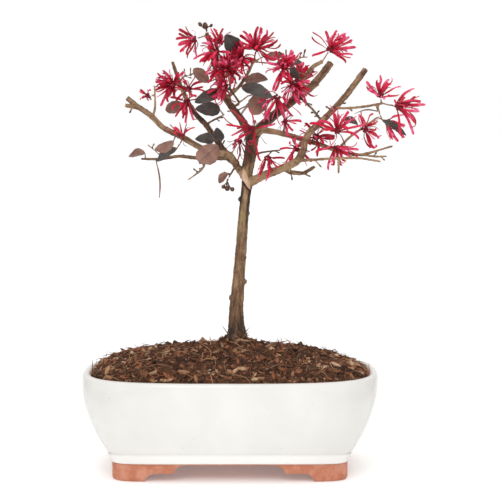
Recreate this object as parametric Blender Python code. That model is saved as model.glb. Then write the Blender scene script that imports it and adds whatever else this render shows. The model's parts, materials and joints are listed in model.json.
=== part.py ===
"""Chinese fringe flower bonsai in a white glazed pot with bare clay feet.

Every length in this file is in millimetres and new_object() turns it into metres. The frame is the
pot's own: its centre is at X = Y = 0, it stands on Z = 0, the front looks towards -Y and +X is to
the right. The whole object hangs from one empty, which moves it to the middle of its box.
"""

import math
import random
from collections import namedtuple

import bmesh
import bpy
from mathutils import Quaternion, Vector

METRES = 0.001
GAP = 0.3
WELD = 0.000003
POT_OFFSET_X = -13.6

# Pot: the plan is a superellipse that is squarer at the foot than at the rim
RIM_HALF_WIDTH = 101.5
RIM_HALF_DEPTH = 64.0
POT_HEIGHT = 68.0
POT_SEGMENTS = 36
RIM_SQUARENESS = 3.2
BASE_SQUARENESS = 9.5
WALL = 6.5
FRONT_TAPER = 0.64
WALL_FOOT_Z = 19.6
WALL_FOOT_INSET = 17.8
LIP_Z = 66.0
LIP_SECTION = ((67.5, 0.9), (POT_HEIGHT, 3.2), (67.3, 5.6), (65.5, WALL))
BULGE_POWER = 1.7
FOOT_HEIGHT = 12.0
FOOT_INSET = 21.8
FOOT_THICKNESS = 11.0
CLAY_LINE = 1.5
UNDERSIDE_Z = FOOT_HEIGHT - CLAY_LINE
FLOOR_Z = 18.0
FLOOR_CORNER = 4.0
INNER_LEVELS = (60.0, 48.0, 34.0, 24.0)
DRAIN_RADIUS = 7.0
DRAIN_X = 38.0

# Cloud-shaped cut between two feet: half lengths where its two steps begin and end
STEP_Z = 5.6
FRONT_CUT = (29.5, 37.0, 49.5, 56.5)
SIDE_CUT = (9.5, 14.0, 19.0, 24.0)
ARC_STEPS = 4

# Drain screens: square grids of plastic mesh on the pot's floor
SCREEN_SIZE = 24.0
SCREEN_THICKNESS = 1.0
SCREEN_BAR = 2.0
SCREEN_BARS = 4

# Soil
SOIL_EDGE_Z = 66.0
SOIL_RISE = 17.8
SOIL_SHOULDER = 2.7
SOIL_CONE = 4.0
SOIL_CONE_REACH = 15.0
SOIL_RING_SHARES = (0.06, 0.18, 0.32, 0.47, 0.62, 0.76, 0.88, 0.96)
TRUNK_X = 4.0
STUMP_BOTTOM_Z = 46.0
STUMP_BOTTOM_RADIUS = 6.0
STUMP_TOP_RADIUS = 7.3

# Tree: each limb is a smooth tube through points of (x, y, z, radius)
PATH_STEP = 11.0
TRUNK_SIDES = 10
LIMBS = {
    "trunk": (
        (4, 0, STUMP_BOTTOM_Z, STUMP_BOTTOM_RADIUS),
        (4, 0, 80, STUMP_TOP_RADIUS),
        (4, 0, 88, STUMP_TOP_RADIUS),
        (4, 0, 96, 5.8),
        (4, 0, 108, 4.9),
        (7, 0, 146, 3.9),
        (9, 0, 173, 3.6),
        (11, 0, 192, 3.5),
        (12, 0, 206, 3.9),
        (14, 0, 218, 4.3),
        (15, 0, 230, 3.6),
    ),
    "right_long": (
        (13, 0, 197, 3.2),
        (22, -8, 202, 2.9),
        (36, -22, 208, 2.6),
        (45, -32, 213, 2.5),
        (49, -34, 220, 2.3),
        (50, -34, 226, 2.2),
        (53, -33, 232, 2.2),
        (61, -32, 239, 2.1),
        (68, -30, 246, 2.0),
        (78, -27, 257, 2.0),
        (91, -22, 274, 2.0),
    ),
    "right_middle": (
        (15, 0, 229, 2.4),
        (22, -2, 233, 2.1),
        (31, -8, 232, 1.9),
        (43, -14, 229, 1.8),
        (53, -18, 226, 1.7),
        (63, -24, 223, 1.5),
        (73, -28, 219, 1.3),
        (87, -32, 217, 1.1),
        (95, -34, 219, 0.9),
        (108, -38, 223, 0.7),
    ),
    "right_middle_fork": ((88, -32, 217, 0.9), (96, -31, 216, 0.8), (105, -30, 216, 0.7)),
    "right_low": (
        (45, -32, 213, 1.3),
        (56, -38, 214, 1.0),
        (72, -42, 215, 0.9),
        (86, -46, 215, 0.8),
        (99, -50, 213, 0.7),
    ),
    "right_low_stub": ((72, -42, 215, 0.9), (72, -43, 205, 0.8)),
    "right_spur": ((36, -20, 208, 1.8), (41, -12, 205, 1.6), (50, -4, 204, 1.3), (58, 4, 208, 1.1)),
    "left_front": (
        (11, 0, 200, 2.6),
        (5, -2, 208, 2.4),
        (0, -6, 216, 2.2),
        (-8, -10, 218, 2.1),
        (-19, -12, 221, 2.0),
        (-33, -14, 229, 2.0),
        (-45, -16, 235, 1.9),
        (-53, -18, 243, 1.9),
        (-63, -20, 250, 1.8),
        (-69, -21, 255, 1.7),
    ),
    "left_front_fork": ((-60, -19, 248, 1.5), (-65, -22, 249, 1.4), (-70, -24, 250, 1.3)),
    "left_back": (
        (6, 0, 208, 2.0),
        (-2, 2, 214, 1.8),
        (-10, 6, 214, 1.6),
        (-24, 14, 214, 1.4),
        (-36, 18, 215, 1.2),
        (-49, 22, 213, 1.0),
        (-63, 24, 213, 0.8),
    ),
    "left_up": (
        (1, -5, 215, 2.3),
        (-4, -4, 219, 2.2),
        (-10, 4, 227, 2.0),
        (-17, 12, 237, 1.9),
        (-24, 18, 244, 1.8),
        (-30, 24, 253, 1.6),
        (-35, 28, 264, 1.4),
        (-41, 30, 281, 1.2),
    ),
    "main_right": (
        (14, 0, 219, 3.9),
        (17, 1, 230, 3.6),
        (22, 4, 236, 3.3),
        (31, 8, 244, 3.1),
        (44, 14, 254, 2.9),
        (57, 18, 264, 2.7),
        (64, 20, 272, 2.6),
        (70, 22, 280, 2.5),
    ),
    "main_right_fork": ((46, 14, 256, 2.0), (51, 8, 268, 1.6), (56, 4, 276, 1.4), (63, 2, 280, 1.3)),
    "main_left": (
        (14, 0, 217, 3.3),
        (13, 2, 230, 2.9),
        (8, 8, 240, 2.6),
        (1, 12, 249, 2.4),
        (-6, 14, 260, 2.1),
        (-10, 12, 274, 1.7),
        (-13, 8, 287, 1.5),
        (-16, 4, 300, 1.3),
    ),
    "centre_up": ((-3, 13, 255, 1.3), (6, 8, 263, 1.2), (12, 6, 272, 1.1), (16, 5, 280, 0.9)),
    "twig_far_right": ((70, -30, 248, 1.0), (79, -34, 248, 0.9), (89, -38, 249, 0.9), (101, -40, 251, 0.8)),
    "twig_mid_right": ((72, -28, 220, 1.0), (80, -20, 228, 0.9), (92, -8, 236, 0.8), (101, 0, 242, 0.7)),
    "twig_link": ((48, 13, 256, 1.0), (56, 2, 248, 0.9), (60, -16, 242, 0.9), (62, -31, 240, 0.9)),
    "twig_far_left": ((-52, -18, 242, 0.9), (-50, -22, 249, 0.8), (-50, -26, 263, 0.6)),
    "twig_low_left": ((-16, -12, 220, 0.8), (-18, -20, 208, 0.7), (-28, -24, 200, 0.6)),
    "twig_front": ((15, 0, 215, 0.9), (21, -8, 218, 0.8), (34, -20, 220, 0.6)),
    "twig_centre": ((1, 11, 249, 0.9), (6, 4, 252, 0.8), (0, 0, 261, 0.7)),
    "twig_inner_left": ((-17, 12, 237, 0.8), (-10, 8, 241, 0.7), (-4, 6, 244, 0.6)),
    "twig_capsules": ((6, -3, 212, 0.8), (2, -12, 206, 0.7), (-1, -14, 201, 0.6)),
}
KNOTS = (
    (1.2, -1.0, 118, 2.6),
    (9.6, -1.2, 129, 2.4),
    (9.4, -2.2, 146, 2.2),
    (11.8, -1.0, 176, 2.0),
    (6.8, -0.6, 186, 1.9),
)
SCAR_CENTRE = (11.0, -3.4, 200.0)
SCAR_LENGTH = 17.0
SCAR_DEPTH = 1.3

# Twigs that carry the leaves, the blooms and the buds
TWIG_RADIUS = 0.75
TWIG_SIDES = 4
TWIG_BEND = 0.08
STRAIGHT_TWIG = 6.0
CLEARANCE = 0.6

# Blooms: (name, place of the core, direction it faces, petals, length of a petal)
CORE_RADIUS = 2.3
CORE_FACE = 0.795 * CORE_RADIUS
PETAL_WIDTH = 2.0
PETAL_RIDGE = 0.9
PETAL_STATIONS = (0.24, 0.62)
PETAL_TRIES = 30
PETAL_JITTER = 0.3
PETAL_LEAN = 0.25
PETAL_DROOP = 0.3
PETAL_SWING = 0.25
PETAL_TWIST = 0.9
BLOOMS = (
    ("bloom_crown_left", (-24, -1, 295), (-0.6, -0.5, -0.3), 10, 12.0),
    ("bloom_crown_upright", (-7, 3, 292), (0.1, -0.2, 1.0), 5, 13.0),
    ("bloom_upper_left", (-9, -3, 286), (-0.2, -0.9, 0.2), 11, 14.0),
    ("bloom_centre_left", (-2, -3, 275), (-0.1, -1.0, 0.1), 13, 15.0),
    ("bloom_centre", (8, 0, 282), (0.3, -1.0, 0.1), 10, 13.0),
    ("bloom_inner_left", (-3, -4, 263), (-0.5, -0.8, -0.2), 10, 13.0),
    ("bloom_crown", (18, 2, 289), (0.1, -0.5, 0.9), 14, 16.0),
    ("bloom_upper_right", (37, -2, 276), (0.2, -0.8, 0.4), 13, 14.0),
    ("bloom_centre_right", (43, 0, 264), (0.4, -0.9, 0.0), 13, 14.0),
    ("bloom_hanging_right", (32, -6, 256), (0.0, -0.7, -0.7), 10, 17.0),
    ("bloom_branch_end", (68, -2, 288), (0.5, -0.4, 0.6), 16, 17.0),
    ("bloom_left", (-40, 16, 265), (-0.4, -0.8, 0.3), 15, 14.0),
    ("bloom_left_low", (-30, 12, 253), (0.1, -0.9, -0.4), 10, 13.0),
    ("bloom_front", (15, -13, 234), (-0.1, -0.8, 0.1), 13, 19.0),
    ("bloom_front_hanging", (25, -19, 215), (0.0, -0.4, -0.9), 9, 14.0),
    ("bloom_front_right", (37, -14, 239), (0.5, -0.8, 0.2), 5, 10.0),
    ("bloom_low_right", (45, -23, 221), (-0.3, -0.8, 0.2), 10, 13.0),
    ("bloom_elbow", (58, -25, 229), (0.1, -0.9, 0.1), 13, 14.0),
    ("bloom_right", (71, -40, 233), (0.1, -0.6, 0.8), 13, 17.0),
    ("bloom_right_hanging", (71, -34, 222), (0.2, -0.7, -0.6), 10, 14.0),
    ("bloom_mid_right", (91, -14, 234), (0.2, -0.8, 0.3), 11, 14.0),
    ("bloom_far_right_up", (99, -43, 256), (0.1, -0.5, 0.8), 11, 14.0),
    ("bloom_far_right", (110, -44, 249), (0.9, -0.4, 0.3), 15, 17.0),
    ("bloom_outer_right", (107, -4, 239), (0.5, -0.6, -0.5), 10, 14.0),
    ("bloom_low_left", (-32, -19, 229), (-0.3, -0.6, 0.5), 7, 12.0),
    ("bloom_tip_left", (-54, -27, 256), (-0.6, -0.4, 0.3), 5, 6.0),
    ("bloom_trunk", (6, -9, 226), (-0.1, -0.6, -0.8), 6, 12.0),
    ("bloom_back_left", (-30, 38, 262), (-0.3, 0.9, 0.2), 11, 14.0),
    ("bloom_back_centre", (2, 26, 274), (-0.1, 0.9, 0.4), 12, 15.0),
    ("bloom_back_right", (47, 28, 268), (0.2, 0.9, 0.2), 12, 15.0),
)

# Leaves: (name, foot of the blade, tip, width, roll about the midrib in degrees, shade)
STALK_LENGTH = 3.5
SHORT_STALK = 1.4
STALK_GAP = 0.5
STALK_HALF = 0.5
LEAF_THICKNESS = 0.7
LEAF_ARCH = 0.10
LEAF_FOLD = 0.16
LEAF_STATIONS = (0.2, 0.5, 0.8)
LEAF_TIP_HALF = 0.5
LEAF_TRIES = 30
DARK, MAUVE = "dark", "mauve"
LEAVES = (
    ("leaf_crown", (7, 4, 285), (-3, -3, 298), 13.0, 117, DARK),
    ("leaf_left_long", (-6, 3, 260), (-24, -5, 252), 9.0, 66, DARK),
    ("leaf_left_under", (-7, 4, 247), (-23, -6, 249), 10.0, 84, DARK),
    ("leaf_centre", (8, -6, 263), (29, -14, 255), 9.5, -71, DARK),
    ("leaf_centre_hanging", (23, -4, 258), (15, -12, 244), 13.0, -118, MAUVE),
    ("leaf_upper_left", (-15, 4, 266), (-25, -2, 275), 8.5, -55, MAUVE),
    ("leaf_big_left", (-8, -12, 223), (-24, -26, 211), 14.5, -105, MAUVE),
    ("leaf_grey_left", (-11, -4, 227), (-24, -13, 227), 8.0, 75, DARK),
    ("leaf_grey_up", (-6, -7, 226), (-9, -11, 235), 7.5, 149, DARK),
    ("leaf_far_left", (-60, 22, 217), (-71, 16, 213), 8.0, -79, MAUVE),
    ("leaf_low_left", (-38, -18, 226), (-50, -26, 220), 8.5, -129, MAUVE),
    ("leaf_low_left_dark", (-36, -10, 221), (-50, -2, 212), 7.0, 81, DARK),
    ("leaf_left_mauve", (-31, 22, 251), (-45, 14, 247), 9.0, -83, MAUVE),
    ("leaf_upper_right", (24, 4, 284), (37, 0, 285), 8.0, 119, MAUVE),
    ("leaf_right_dark", (32, 6, 279), (49, 10, 280), 7.5, -69, DARK),
    ("leaf_far_right", (98, -36, 246), (82, -41, 246), 6.0, 15, DARK),
    ("leaf_far_right_low", (101, -38, 240), (116, -45, 230), 9.0, -56, DARK),
    ("leaf_right_small", (77, -18, 241), (86, -20, 237), 6.0, -55, DARK),
    ("leaf_capsule", (-1, -12, 204), (-7, -17, 198), 6.0, -87, MAUVE),
    ("leaf_hanging", (-52, 24, 210), (-50, 20, 186), 4.0, 60, MAUVE),
    ("leaf_inner", (10, 12, 267), (26, 16, 268), 10.0, 46, MAUVE),
    ("leaf_right_up", (47, -4, 268), (42, -10, 278), 7.0, 163, DARK),
    ("leaf_back", (18, 24, 252), (8, 36, 244), 11.0, 30, DARK),
)

# Winter buds on the crown and seed capsules below the fork: (limb's end that bears them, heads),
# where a head is (its place beyond the end, its radius) and the first one's stalk carries the others
BUD_STALK_RADIUS = 0.55
BUD_FORK = 0.4
CLUSTERS = {
    "crown_buds": (
        "main_left",
        (((-1.0, -1.5, 4.6), 2.1), ((-4.6, -2.5, 5.6), 1.5), ((3.0, 0.5, 4.6), 1.2)),
    ),
    "low_capsules": (
        "twig_capsules",
        (((-0.8, -1.0, -7.0), 1.9), ((2.6, -1.6, -7.6), 1.6), ((-3.4, 0.5, -6.0), 1.5)),
    ),
}

COLOURS = {
    "glaze": ((0.86, 0.85, 0.83), 0.12),
    "soil": ((0.09, 0.045, 0.025), 0.95),
    "bark": ((0.17, 0.115, 0.065), 0.8),
    "petal": ((0.62, 0.015, 0.07), 0.5),
    DARK: ((0.045, 0.035, 0.035), 0.4),
    MAUVE: ((0.2, 0.085, 0.085), 0.5),
    "bud": ((0.09, 0.025, 0.025), 0.6),
    "screen": ((0.02, 0.02, 0.02), 0.6),
}

Limb = namedtuple("Limb", "points radii")


def clear_scene():
    """Removes what the scene held."""
    for item in list(bpy.data.objects):
        bpy.data.objects.remove(item, do_unlink=True)


def material(key):
    """The Principled material of one colour, made on first use."""
    found = bpy.data.materials.get(key)
    if found:
        return found
    colour, roughness = COLOURS[key]
    made = bpy.data.materials.new(key)
    made.use_nodes = True
    shader = made.node_tree.nodes["Principled BSDF"]
    shader.inputs["Base Color"].default_value = (*colour, 1.0)
    shader.inputs["Roughness"].default_value = roughness
    shader.inputs["Metallic"].default_value = 0.0
    return made


def new_object(name, points, faces, key):
    """One object from points in millimetres, with its faces turned outwards."""
    mesh = bpy.data.meshes.new(name)
    mesh.from_pydata([Vector(p) * METRES for p in points], [], faces)
    shape = bmesh.new()
    shape.from_mesh(mesh)
    bmesh.ops.recalc_face_normals(shape, faces=shape.faces)
    shape.to_mesh(mesh)
    shape.free()
    mesh.materials.append(material(key))
    made = bpy.data.objects.new(name, mesh)
    bpy.context.scene.collection.objects.link(made)
    return made


def loft(name, rings, key, start=None, end=None):
    """A closed skin over rings of equal length, closed by a pole where one is given and flat elsewhere."""
    count = len(rings[0])
    points = [p for ring in rings for p in ring]
    faces = []
    for row in range(len(rings) - 1):
        for i in range(count):
            a, b = row * count + i, row * count + (i + 1) % count
            faces.append((a, b, b + count, a + count))
    for pole, first in ((start, 0), (end, (len(rings) - 1) * count)):
        ring = [first + i for i in range(count)]
        if pole is None:
            faces.append(ring)
            continue
        points.append(pole)
        faces += [(ring[i], ring[(i + 1) % count], len(points) - 1) for i in range(count)]
    return new_object(name, points, faces, key)


def prism(name, outline, axis, reach, key="glaze"):
    """An outline of (across, up) drawn out along X or Y by reach to each side."""
    def corner(across, up, along):
        return (along, across, up) if axis == "X" else (across, along, up)

    rings = [[corner(u, v, along) for u, v in outline] for along in (-reach, reach)]
    return loft(name, rings, key)


def block(name, centre, size, key):
    """A box from its centre and its three sizes."""
    cx, cy, cz = centre
    w, d, h = (s / 2 for s in size)
    ring = [(cx - w, cy - d), (cx + w, cy - d), (cx + w, cy + d), (cx - w, cy + d)]
    return loft(name, [[(x, y, cz - h) for x, y in ring], [(x, y, cz + h) for x, y in ring]], key)


def ball(name, centre, radius, key, levels=1):
    """A small icosphere."""
    shape = bmesh.new()
    bmesh.ops.create_icosphere(shape, subdivisions=levels, radius=radius)
    points = [Vector(centre) + v.co for v in shape.verts]
    faces = [[v.index for v in face.verts] for face in shape.faces]
    shape.free()
    return new_object(name, points, faces, key)


def combine(target, operation, parts):
    """Applies one Boolean of the parts to the target and removes them."""
    group = bpy.data.collections.new(f"{target.name}_parts")
    bpy.context.scene.collection.children.link(group)
    for part in parts:
        bpy.context.scene.collection.objects.unlink(part)
        group.objects.link(part)
        part.hide_render = True
        part.display_type = "WIRE"
    step = target.modifiers.new("Combine", "BOOLEAN")
    step.operation = operation
    step.solver = "EXACT"
    step.operand_type = "COLLECTION"
    step.collection = group
    shown = bpy.context.evaluated_depsgraph_get()
    result = bpy.data.meshes.new_from_object(target.evaluated_get(shown))
    target.modifiers.clear()
    shape = bmesh.new()
    shape.from_mesh(result)
    bmesh.ops.remove_doubles(shape, verts=shape.verts, dist=WELD)
    bmesh.ops.dissolve_degenerate(shape, edges=shape.edges, dist=WELD)
    shape.to_mesh(result)
    shape.free()
    worn = target.data
    target.data = result
    bpy.data.meshes.remove(worn)
    result.materials.clear()
    result.materials.append(material(target["finish"]))
    for part in parts:
        bpy.data.objects.remove(part, do_unlink=True)
    bpy.data.collections.remove(group)


def smooth_shading(item, degrees=40):
    """Smooth faces with sharp edges past an angle."""
    item.data.shade_smooth()
    item.data.set_sharp_from_angle(angle=math.radians(degrees))


def outline(half_width, half_depth, squareness, z):
    """One superellipse ring of the pot's plan at a height."""
    ring = []
    for i in range(POT_SEGMENTS):
        turn = 2 * math.pi * i / POT_SEGMENTS
        c, s = math.cos(turn), math.sin(turn)
        x = half_width * math.copysign(abs(c) ** (2 / squareness), c)
        y = half_depth * math.copysign(abs(s) ** (2 / squareness), s)
        ring.append((x, y, z))
    return ring


def squareness_at(z):
    """The plan's exponent at a height, from the foot to the rim."""
    share = min(max((z - FOOT_HEIGHT) / (LIP_Z - FOOT_HEIGHT), 0.0), 1.0)
    return BASE_SQUARENESS + (RIM_SQUARENESS - BASE_SQUARENESS) * share


def pot_ring(inset, z, wall=0.0):
    """A ring inset by the side walls' slope, and by a wall's thickness all round."""
    half_width = RIM_HALF_WIDTH - inset - wall
    half_depth = RIM_HALF_DEPTH - inset * FRONT_TAPER - wall
    return outline(half_width, half_depth, squareness_at(z), z)


def wall_inset(z):
    """How far the bulging wall has drawn in from the rim at a height."""
    share = min((z - WALL_FOOT_Z) / (LIP_Z - WALL_FOOT_Z), 1.0)
    return WALL_FOOT_INSET * (1 - share) ** BULGE_POWER


def inner_ring(z, gap=0.0):
    """The pot's inner wall at a height, drawn in further by a gap."""
    last = INNER_LEVELS[-1]
    if z >= last:
        return pot_ring(wall_inset(z), z, WALL + gap)
    share = (last - z) / (last - FLOOR_Z)
    return pot_ring(wall_inset(last), z, WALL + FLOOR_CORNER * share + gap)


def cloud_cut(lengths):
    """Half of the arched outline between two feet, mirrored: (across, up) from left to right."""
    arch_end, step_start, step_end, foot_start = lengths
    half = []
    steps = ((arch_end, step_start, UNDERSIDE_Z, STEP_Z), (step_end, foot_start, STEP_Z, -1.0))
    for first, last, top, bottom in steps:
        for i in range(ARC_STEPS + 1):
            turn = math.pi / 2 * i / ARC_STEPS
            up = top - (top - bottom) * (1 - math.cos(turn))
            half.append((first + (last - first) * math.sin(turn), up))
    return [(-u, v) for u, v in reversed(half)] + half


def make_pot():
    """The fired pot: wall, floor, moulded band, feet and drain holes in one piece."""
    rings = [
        pot_ring(FOOT_INSET, UNDERSIDE_Z, FOOT_THICKNESS),
        pot_ring(FOOT_INSET, 0.0, FOOT_THICKNESS),
        pot_ring(FOOT_INSET, 0.0, 1.0),
        pot_ring(FOOT_INSET, 1.2),
        pot_ring(FOOT_INSET, FOOT_HEIGHT),
        pot_ring(21.2, FOOT_HEIGHT),
        pot_ring(19.9, 14.2),
        pot_ring(18.6, 17.0),
        pot_ring(19.1, 18.6),
    ]
    rings += [pot_ring(wall_inset(z), z) for z in (WALL_FOOT_Z, 28.0, 38.0, 50.0, 60.0, LIP_Z)]
    rings += [pot_ring(0.0, z, wall) for z, wall in LIP_SECTION]
    rings += [inner_ring(z) for z in (*INNER_LEVELS, FLOOR_Z)]
    pot = loft("pot", rings, "glaze", start=(0, 0, UNDERSIDE_Z), end=(0, 0, FLOOR_Z))
    pot["finish"] = "glaze"
    cutters = [
        prism("cut_front", cloud_cut(FRONT_CUT), "Y", RIM_HALF_DEPTH),
        prism("cut_side", cloud_cut(SIDE_CUT), "X", RIM_HALF_WIDTH),
    ]
    for x in (-DRAIN_X, DRAIN_X):
        cutters.append(rod("cut_drain", (x, 0, 0), (x, 0, FLOOR_Z + 5), DRAIN_RADIUS, 16))
    combine(pot, "DIFFERENCE", cutters)
    smooth_shading(pot)


def rod(name, start, end, radius, sides, key="glaze"):
    """A straight round bar with flat ends."""
    return tube(name, [Vector(start), Vector(end)], [radius, radius], sides, key)


def tube(name, path, radii, sides, key):
    """A tapering tube along a path, with its section carried along without twist."""
    rings = []
    normal = None
    for i, point in enumerate(path):
        ahead = path[min(i + 1, len(path) - 1)] - path[max(i - 1, 0)]
        ahead.normalize()
        if normal is None:
            normal = ahead.orthogonal().normalized()
        normal = (normal - ahead * normal.dot(ahead)).normalized()
        side = ahead.cross(normal)
        turns = [2 * math.pi * k / sides for k in range(sides)]
        rings.append([point + (normal * math.cos(t) + side * math.sin(t)) * radii[i] for t in turns])
    return loft(name, rings, key)


def make_screen(side):
    """A square of plastic mesh over one drain hole."""
    name = "drain_screen_left" if side < 0 else "drain_screen_right"
    centre_x, z = side * DRAIN_X, FLOOR_Z + GAP + SCREEN_THICKNESS / 2
    screen = block(name, (centre_x, 0, z), (SCREEN_SIZE, SCREEN_SIZE, SCREEN_THICKNESS), "screen")
    screen["finish"] = "screen"
    pitch = (SCREEN_SIZE - SCREEN_BAR) / (SCREEN_BARS - 1)
    first = -SCREEN_SIZE / 2 + SCREEN_BAR / 2 + pitch / 2
    opening = (pitch - SCREEN_BAR, pitch - SCREEN_BAR, 3 * SCREEN_THICKNESS)
    holes = []
    for i in range(SCREEN_BARS - 1):
        for j in range(SCREEN_BARS - 1):
            middle = (centre_x + first + i * pitch, first + j * pitch, z)
            holes.append(block("hole", middle, opening, "screen"))
    combine(screen, "DIFFERENCE", holes)


def soil_height(x, y):
    """Height of the soil's mound: a flat-topped dome, a cone at the trunk and low clods."""
    rim = inner_ring(SOIL_EDGE_Z)
    reach_x, reach_y = max(p[0] for p in rim), max(p[1] for p in rim)
    share = (abs(x / reach_x) ** RIM_SQUARENESS + abs(y / reach_y) ** RIM_SQUARENESS) ** (1 / RIM_SQUARENESS)
    share = min(share, 1.0)
    dome = SOIL_RISE * (1 - share**SOIL_SHOULDER)
    cone = SOIL_CONE * math.exp(-((x - TRUNK_X) ** 2 + y**2) / SOIL_CONE_REACH**2)
    clods = 0.9 * math.sin(0.31 * x + 1.3) * math.sin(0.37 * y + 0.4)
    clods += 0.6 * math.sin(0.83 * x + 0.27 * y) * math.cos(0.71 * y - 0.2 * x)
    return SOIL_EDGE_Z + dome + cone + clods * (1 - share**6)


def make_soil():
    """The soil: its mound, the side that follows the pot's wall, and a plain hole for the stump."""
    fit = 2 * GAP
    rim = [Vector(p) for p in inner_ring(SOIL_EDGE_Z, fit)]

    def hole_ring(radius, z):
        turns = [math.atan2(p.y, p.x - TRUNK_X) for p in rim]
        return [Vector((TRUNK_X + radius * math.cos(t), radius * math.sin(t), z)) for t in turns]

    hole_z = STUMP_BOTTOM_Z - GAP
    top = hole_ring(STUMP_TOP_RADIUS + fit, 0)
    rings = [hole_ring(STUMP_TOP_RADIUS + fit, hole_z)]
    for share in (0.0, *SOIL_RING_SHARES):
        ring = [a.lerp(b, share) for a, b in zip(top, rim)]
        rings.append([(p.x, p.y, soil_height(p.x, p.y)) for p in ring])
    rings += [inner_ring(z, fit) for z in (SOIL_EDGE_Z, *INNER_LEVELS, FLOOR_Z + GAP)]
    soil = loft("soil", rings, "soil", start=(TRUNK_X, 0, hole_z), end=(0, 0, FLOOR_Z + GAP))
    soil["finish"] = "soil"
    pocket = (SCREEN_SIZE + 2 * GAP, SCREEN_SIZE + 2 * GAP, 2 * (SCREEN_THICKNESS + 2 * GAP))
    places = [(x, 0, FLOOR_Z) for x in (-DRAIN_X, DRAIN_X)]
    combine(soil, "DIFFERENCE", [block("pocket", place, pocket, "soil") for place in places])
    smooth_shading(soil, 50)


def smooth_path(points, step=PATH_STEP):
    """A Catmull-Rom curve through points of (x, y, z, radius), cut at about equal steps."""
    knots = [Vector(p) for p in points]
    knots = [2 * knots[0] - knots[1], *knots, 2 * knots[-1] - knots[-2]]
    path, radii = [], []
    for a, b, c, d in zip(knots, knots[1:], knots[2:], knots[3:]):
        cuts = max(1, round((c - b).length / step))
        for i in range(cuts):
            t = i / cuts
            bend = (2 * a - 5 * b + 4 * c - d) * t**2 + (3 * b - a - 3 * c + d) * t**3
            spot = 0.5 * (2 * b + (c - a) * t + bend)
            path.append(spot.xyz)
            radii.append(spot.w)
    path.append(knots[-2].xyz)
    radii.append(knots[-2].w)
    return Limb(path, radii)


class Taken:
    """The space that is in use: short rods, each with a radius and an owner."""

    def __init__(self):
        self.rods = []

    def add(self, owner, path, radii):
        """Takes the rods of one path."""
        for a, b, r, s in zip(path, path[1:], radii, radii[1:]):
            self.rods.append((owner, a, b, max(r, s)))

    def room(self, point, skip=()):
        """The distance from a point to the nearest rod's surface."""
        best = 1e9
        for owner, a, b, radius in self.rods:
            if owner in skip:
                continue
            along = b - a
            share = min(max((point - a).dot(along) / max(along.length_squared, 1e-9), 0.0), 1.0)
            best = min(best, (point - a - along * share).length - radius)
        return best

    def clear(self, points, radius, skip=()):
        """Whether rods of a radius round these points would stand clear of the rest."""
        return all(self.room(p, skip) > radius + CLEARANCE for p in points)


def nearest_on_limbs(place, limbs):
    """The nearest point on the tree's limbs, with the limb's radius there and its name."""
    best = None
    for name, limb in limbs.items():
        for a, b, r, s in zip(limb.points, limb.points[1:], limb.radii, limb.radii[1:]):
            along = b - a
            share = min(max((place - a).dot(along) / along.length_squared, 0.0), 1.0)
            foot = a + along * share
            distance = (place - foot).length
            if best is None or distance < best[0]:
                best = (distance, foot, r + (s - r) * share, name)
    return best


def in_between(start, end, spacing=1.4):
    """Points from start to end, close enough together to test a rod with."""
    count = max(2, math.ceil((end - start).length / spacing) + 1)
    return [start.lerp(end, i / (count - 1)) for i in range(count)]


def seat(place, room, limbs):
    """Where something of a given half size sits by the bark: its place, pushed out where it is too near."""
    distance, foot, radius, _ = nearest_on_limbs(place, limbs)
    away = (place - foot).normalized()
    return foot + away * max(distance, radius + room + GAP), away


def carry(owner, end, away, limbs, taken, cores):
    """A twig from the nearest limb that ends at a point in a direction, bent clear of the blooms' cores."""
    distance, foot, radius, _ = nearest_on_limbs(end, limbs)
    if distance < radius + GAP:
        return None
    draw = random.Random(owner)
    for attempt in range(40):
        bend = Vector([draw.uniform(-1, 1) for _ in range(3)]) * distance * TWIG_BEND * (0.5 + attempt / 4)
        middle = foot.lerp(end - away * distance * 0.3, 0.6) + bend
        points = in_between(foot, middle) + in_between(middle, end)
        if all((p - core).length > CORE_RADIUS + TWIG_RADIUS + CLEARANCE for p in points for core in cores):
            break
    path = [foot, middle, end] if distance > radius + STRAIGHT_TWIG else [foot, end]
    radii = [TWIG_RADIUS] * len(path)
    taken.add(owner, path, radii)
    return tube(owner, path, radii, TWIG_SIDES, "bark")


def sides_for(radius):
    """How many sides a limb's section has."""
    return 8 if radius > 3.0 else 7 if radius > 1.8 else 5 if radius > 1.1 else 4


def make_tree(limbs, twigs):
    """The tree: trunk, limbs, knots and bearing twigs grown into one body, with its pruning scar."""
    trunk = limbs["trunk"]
    tree = tube("tree", trunk.points, trunk.radii, TRUNK_SIDES, "bark")
    tree["finish"] = "bark"
    others = [limb for name, limb in limbs.items() if name != "trunk"]
    parts = [tube("limb", limb.points, limb.radii, sides_for(limb.radii[0]), "bark") for limb in others]
    parts += [ball("knot", knot[:3], knot[3], "bark") for knot in KNOTS]
    combine(tree, "UNION", parts + twigs)
    x, y, z = SCAR_CENTRE
    cutter = block("scar_cut", (x, y - 5, z), (8, 10 - 2 * SCAR_DEPTH + 2, SCAR_LENGTH), "bark")
    combine(tree, "DIFFERENCE", [cutter])
    smooth_shading(tree, 50)


def petal_line(draw, start, out, facing, length):
    """One strap petal's centreline: out of the core, leaning to the front, swinging and drooping."""
    heading = out + facing * PETAL_LEAN + Vector([draw.uniform(-1, 1) for _ in range(3)]) * PETAL_JITTER
    heading.normalize()
    swing = Vector([draw.uniform(-1, 1) for _ in range(3)]).cross(heading) * PETAL_SWING
    droop = Vector((0, 0, -1)) * PETAL_DROOP * draw.uniform(0.1, 1.0)
    length *= draw.uniform(0.8, 1.08)

    def at(share):
        return start + heading * length * share + (swing + droop) * length * share**2

    return at


def petal_width(share):
    """The strap's width along its length, narrow at its root and towards its tip."""
    return PETAL_WIDTH * (0.6 + 0.4 * math.sin(math.pi * share))


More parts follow.
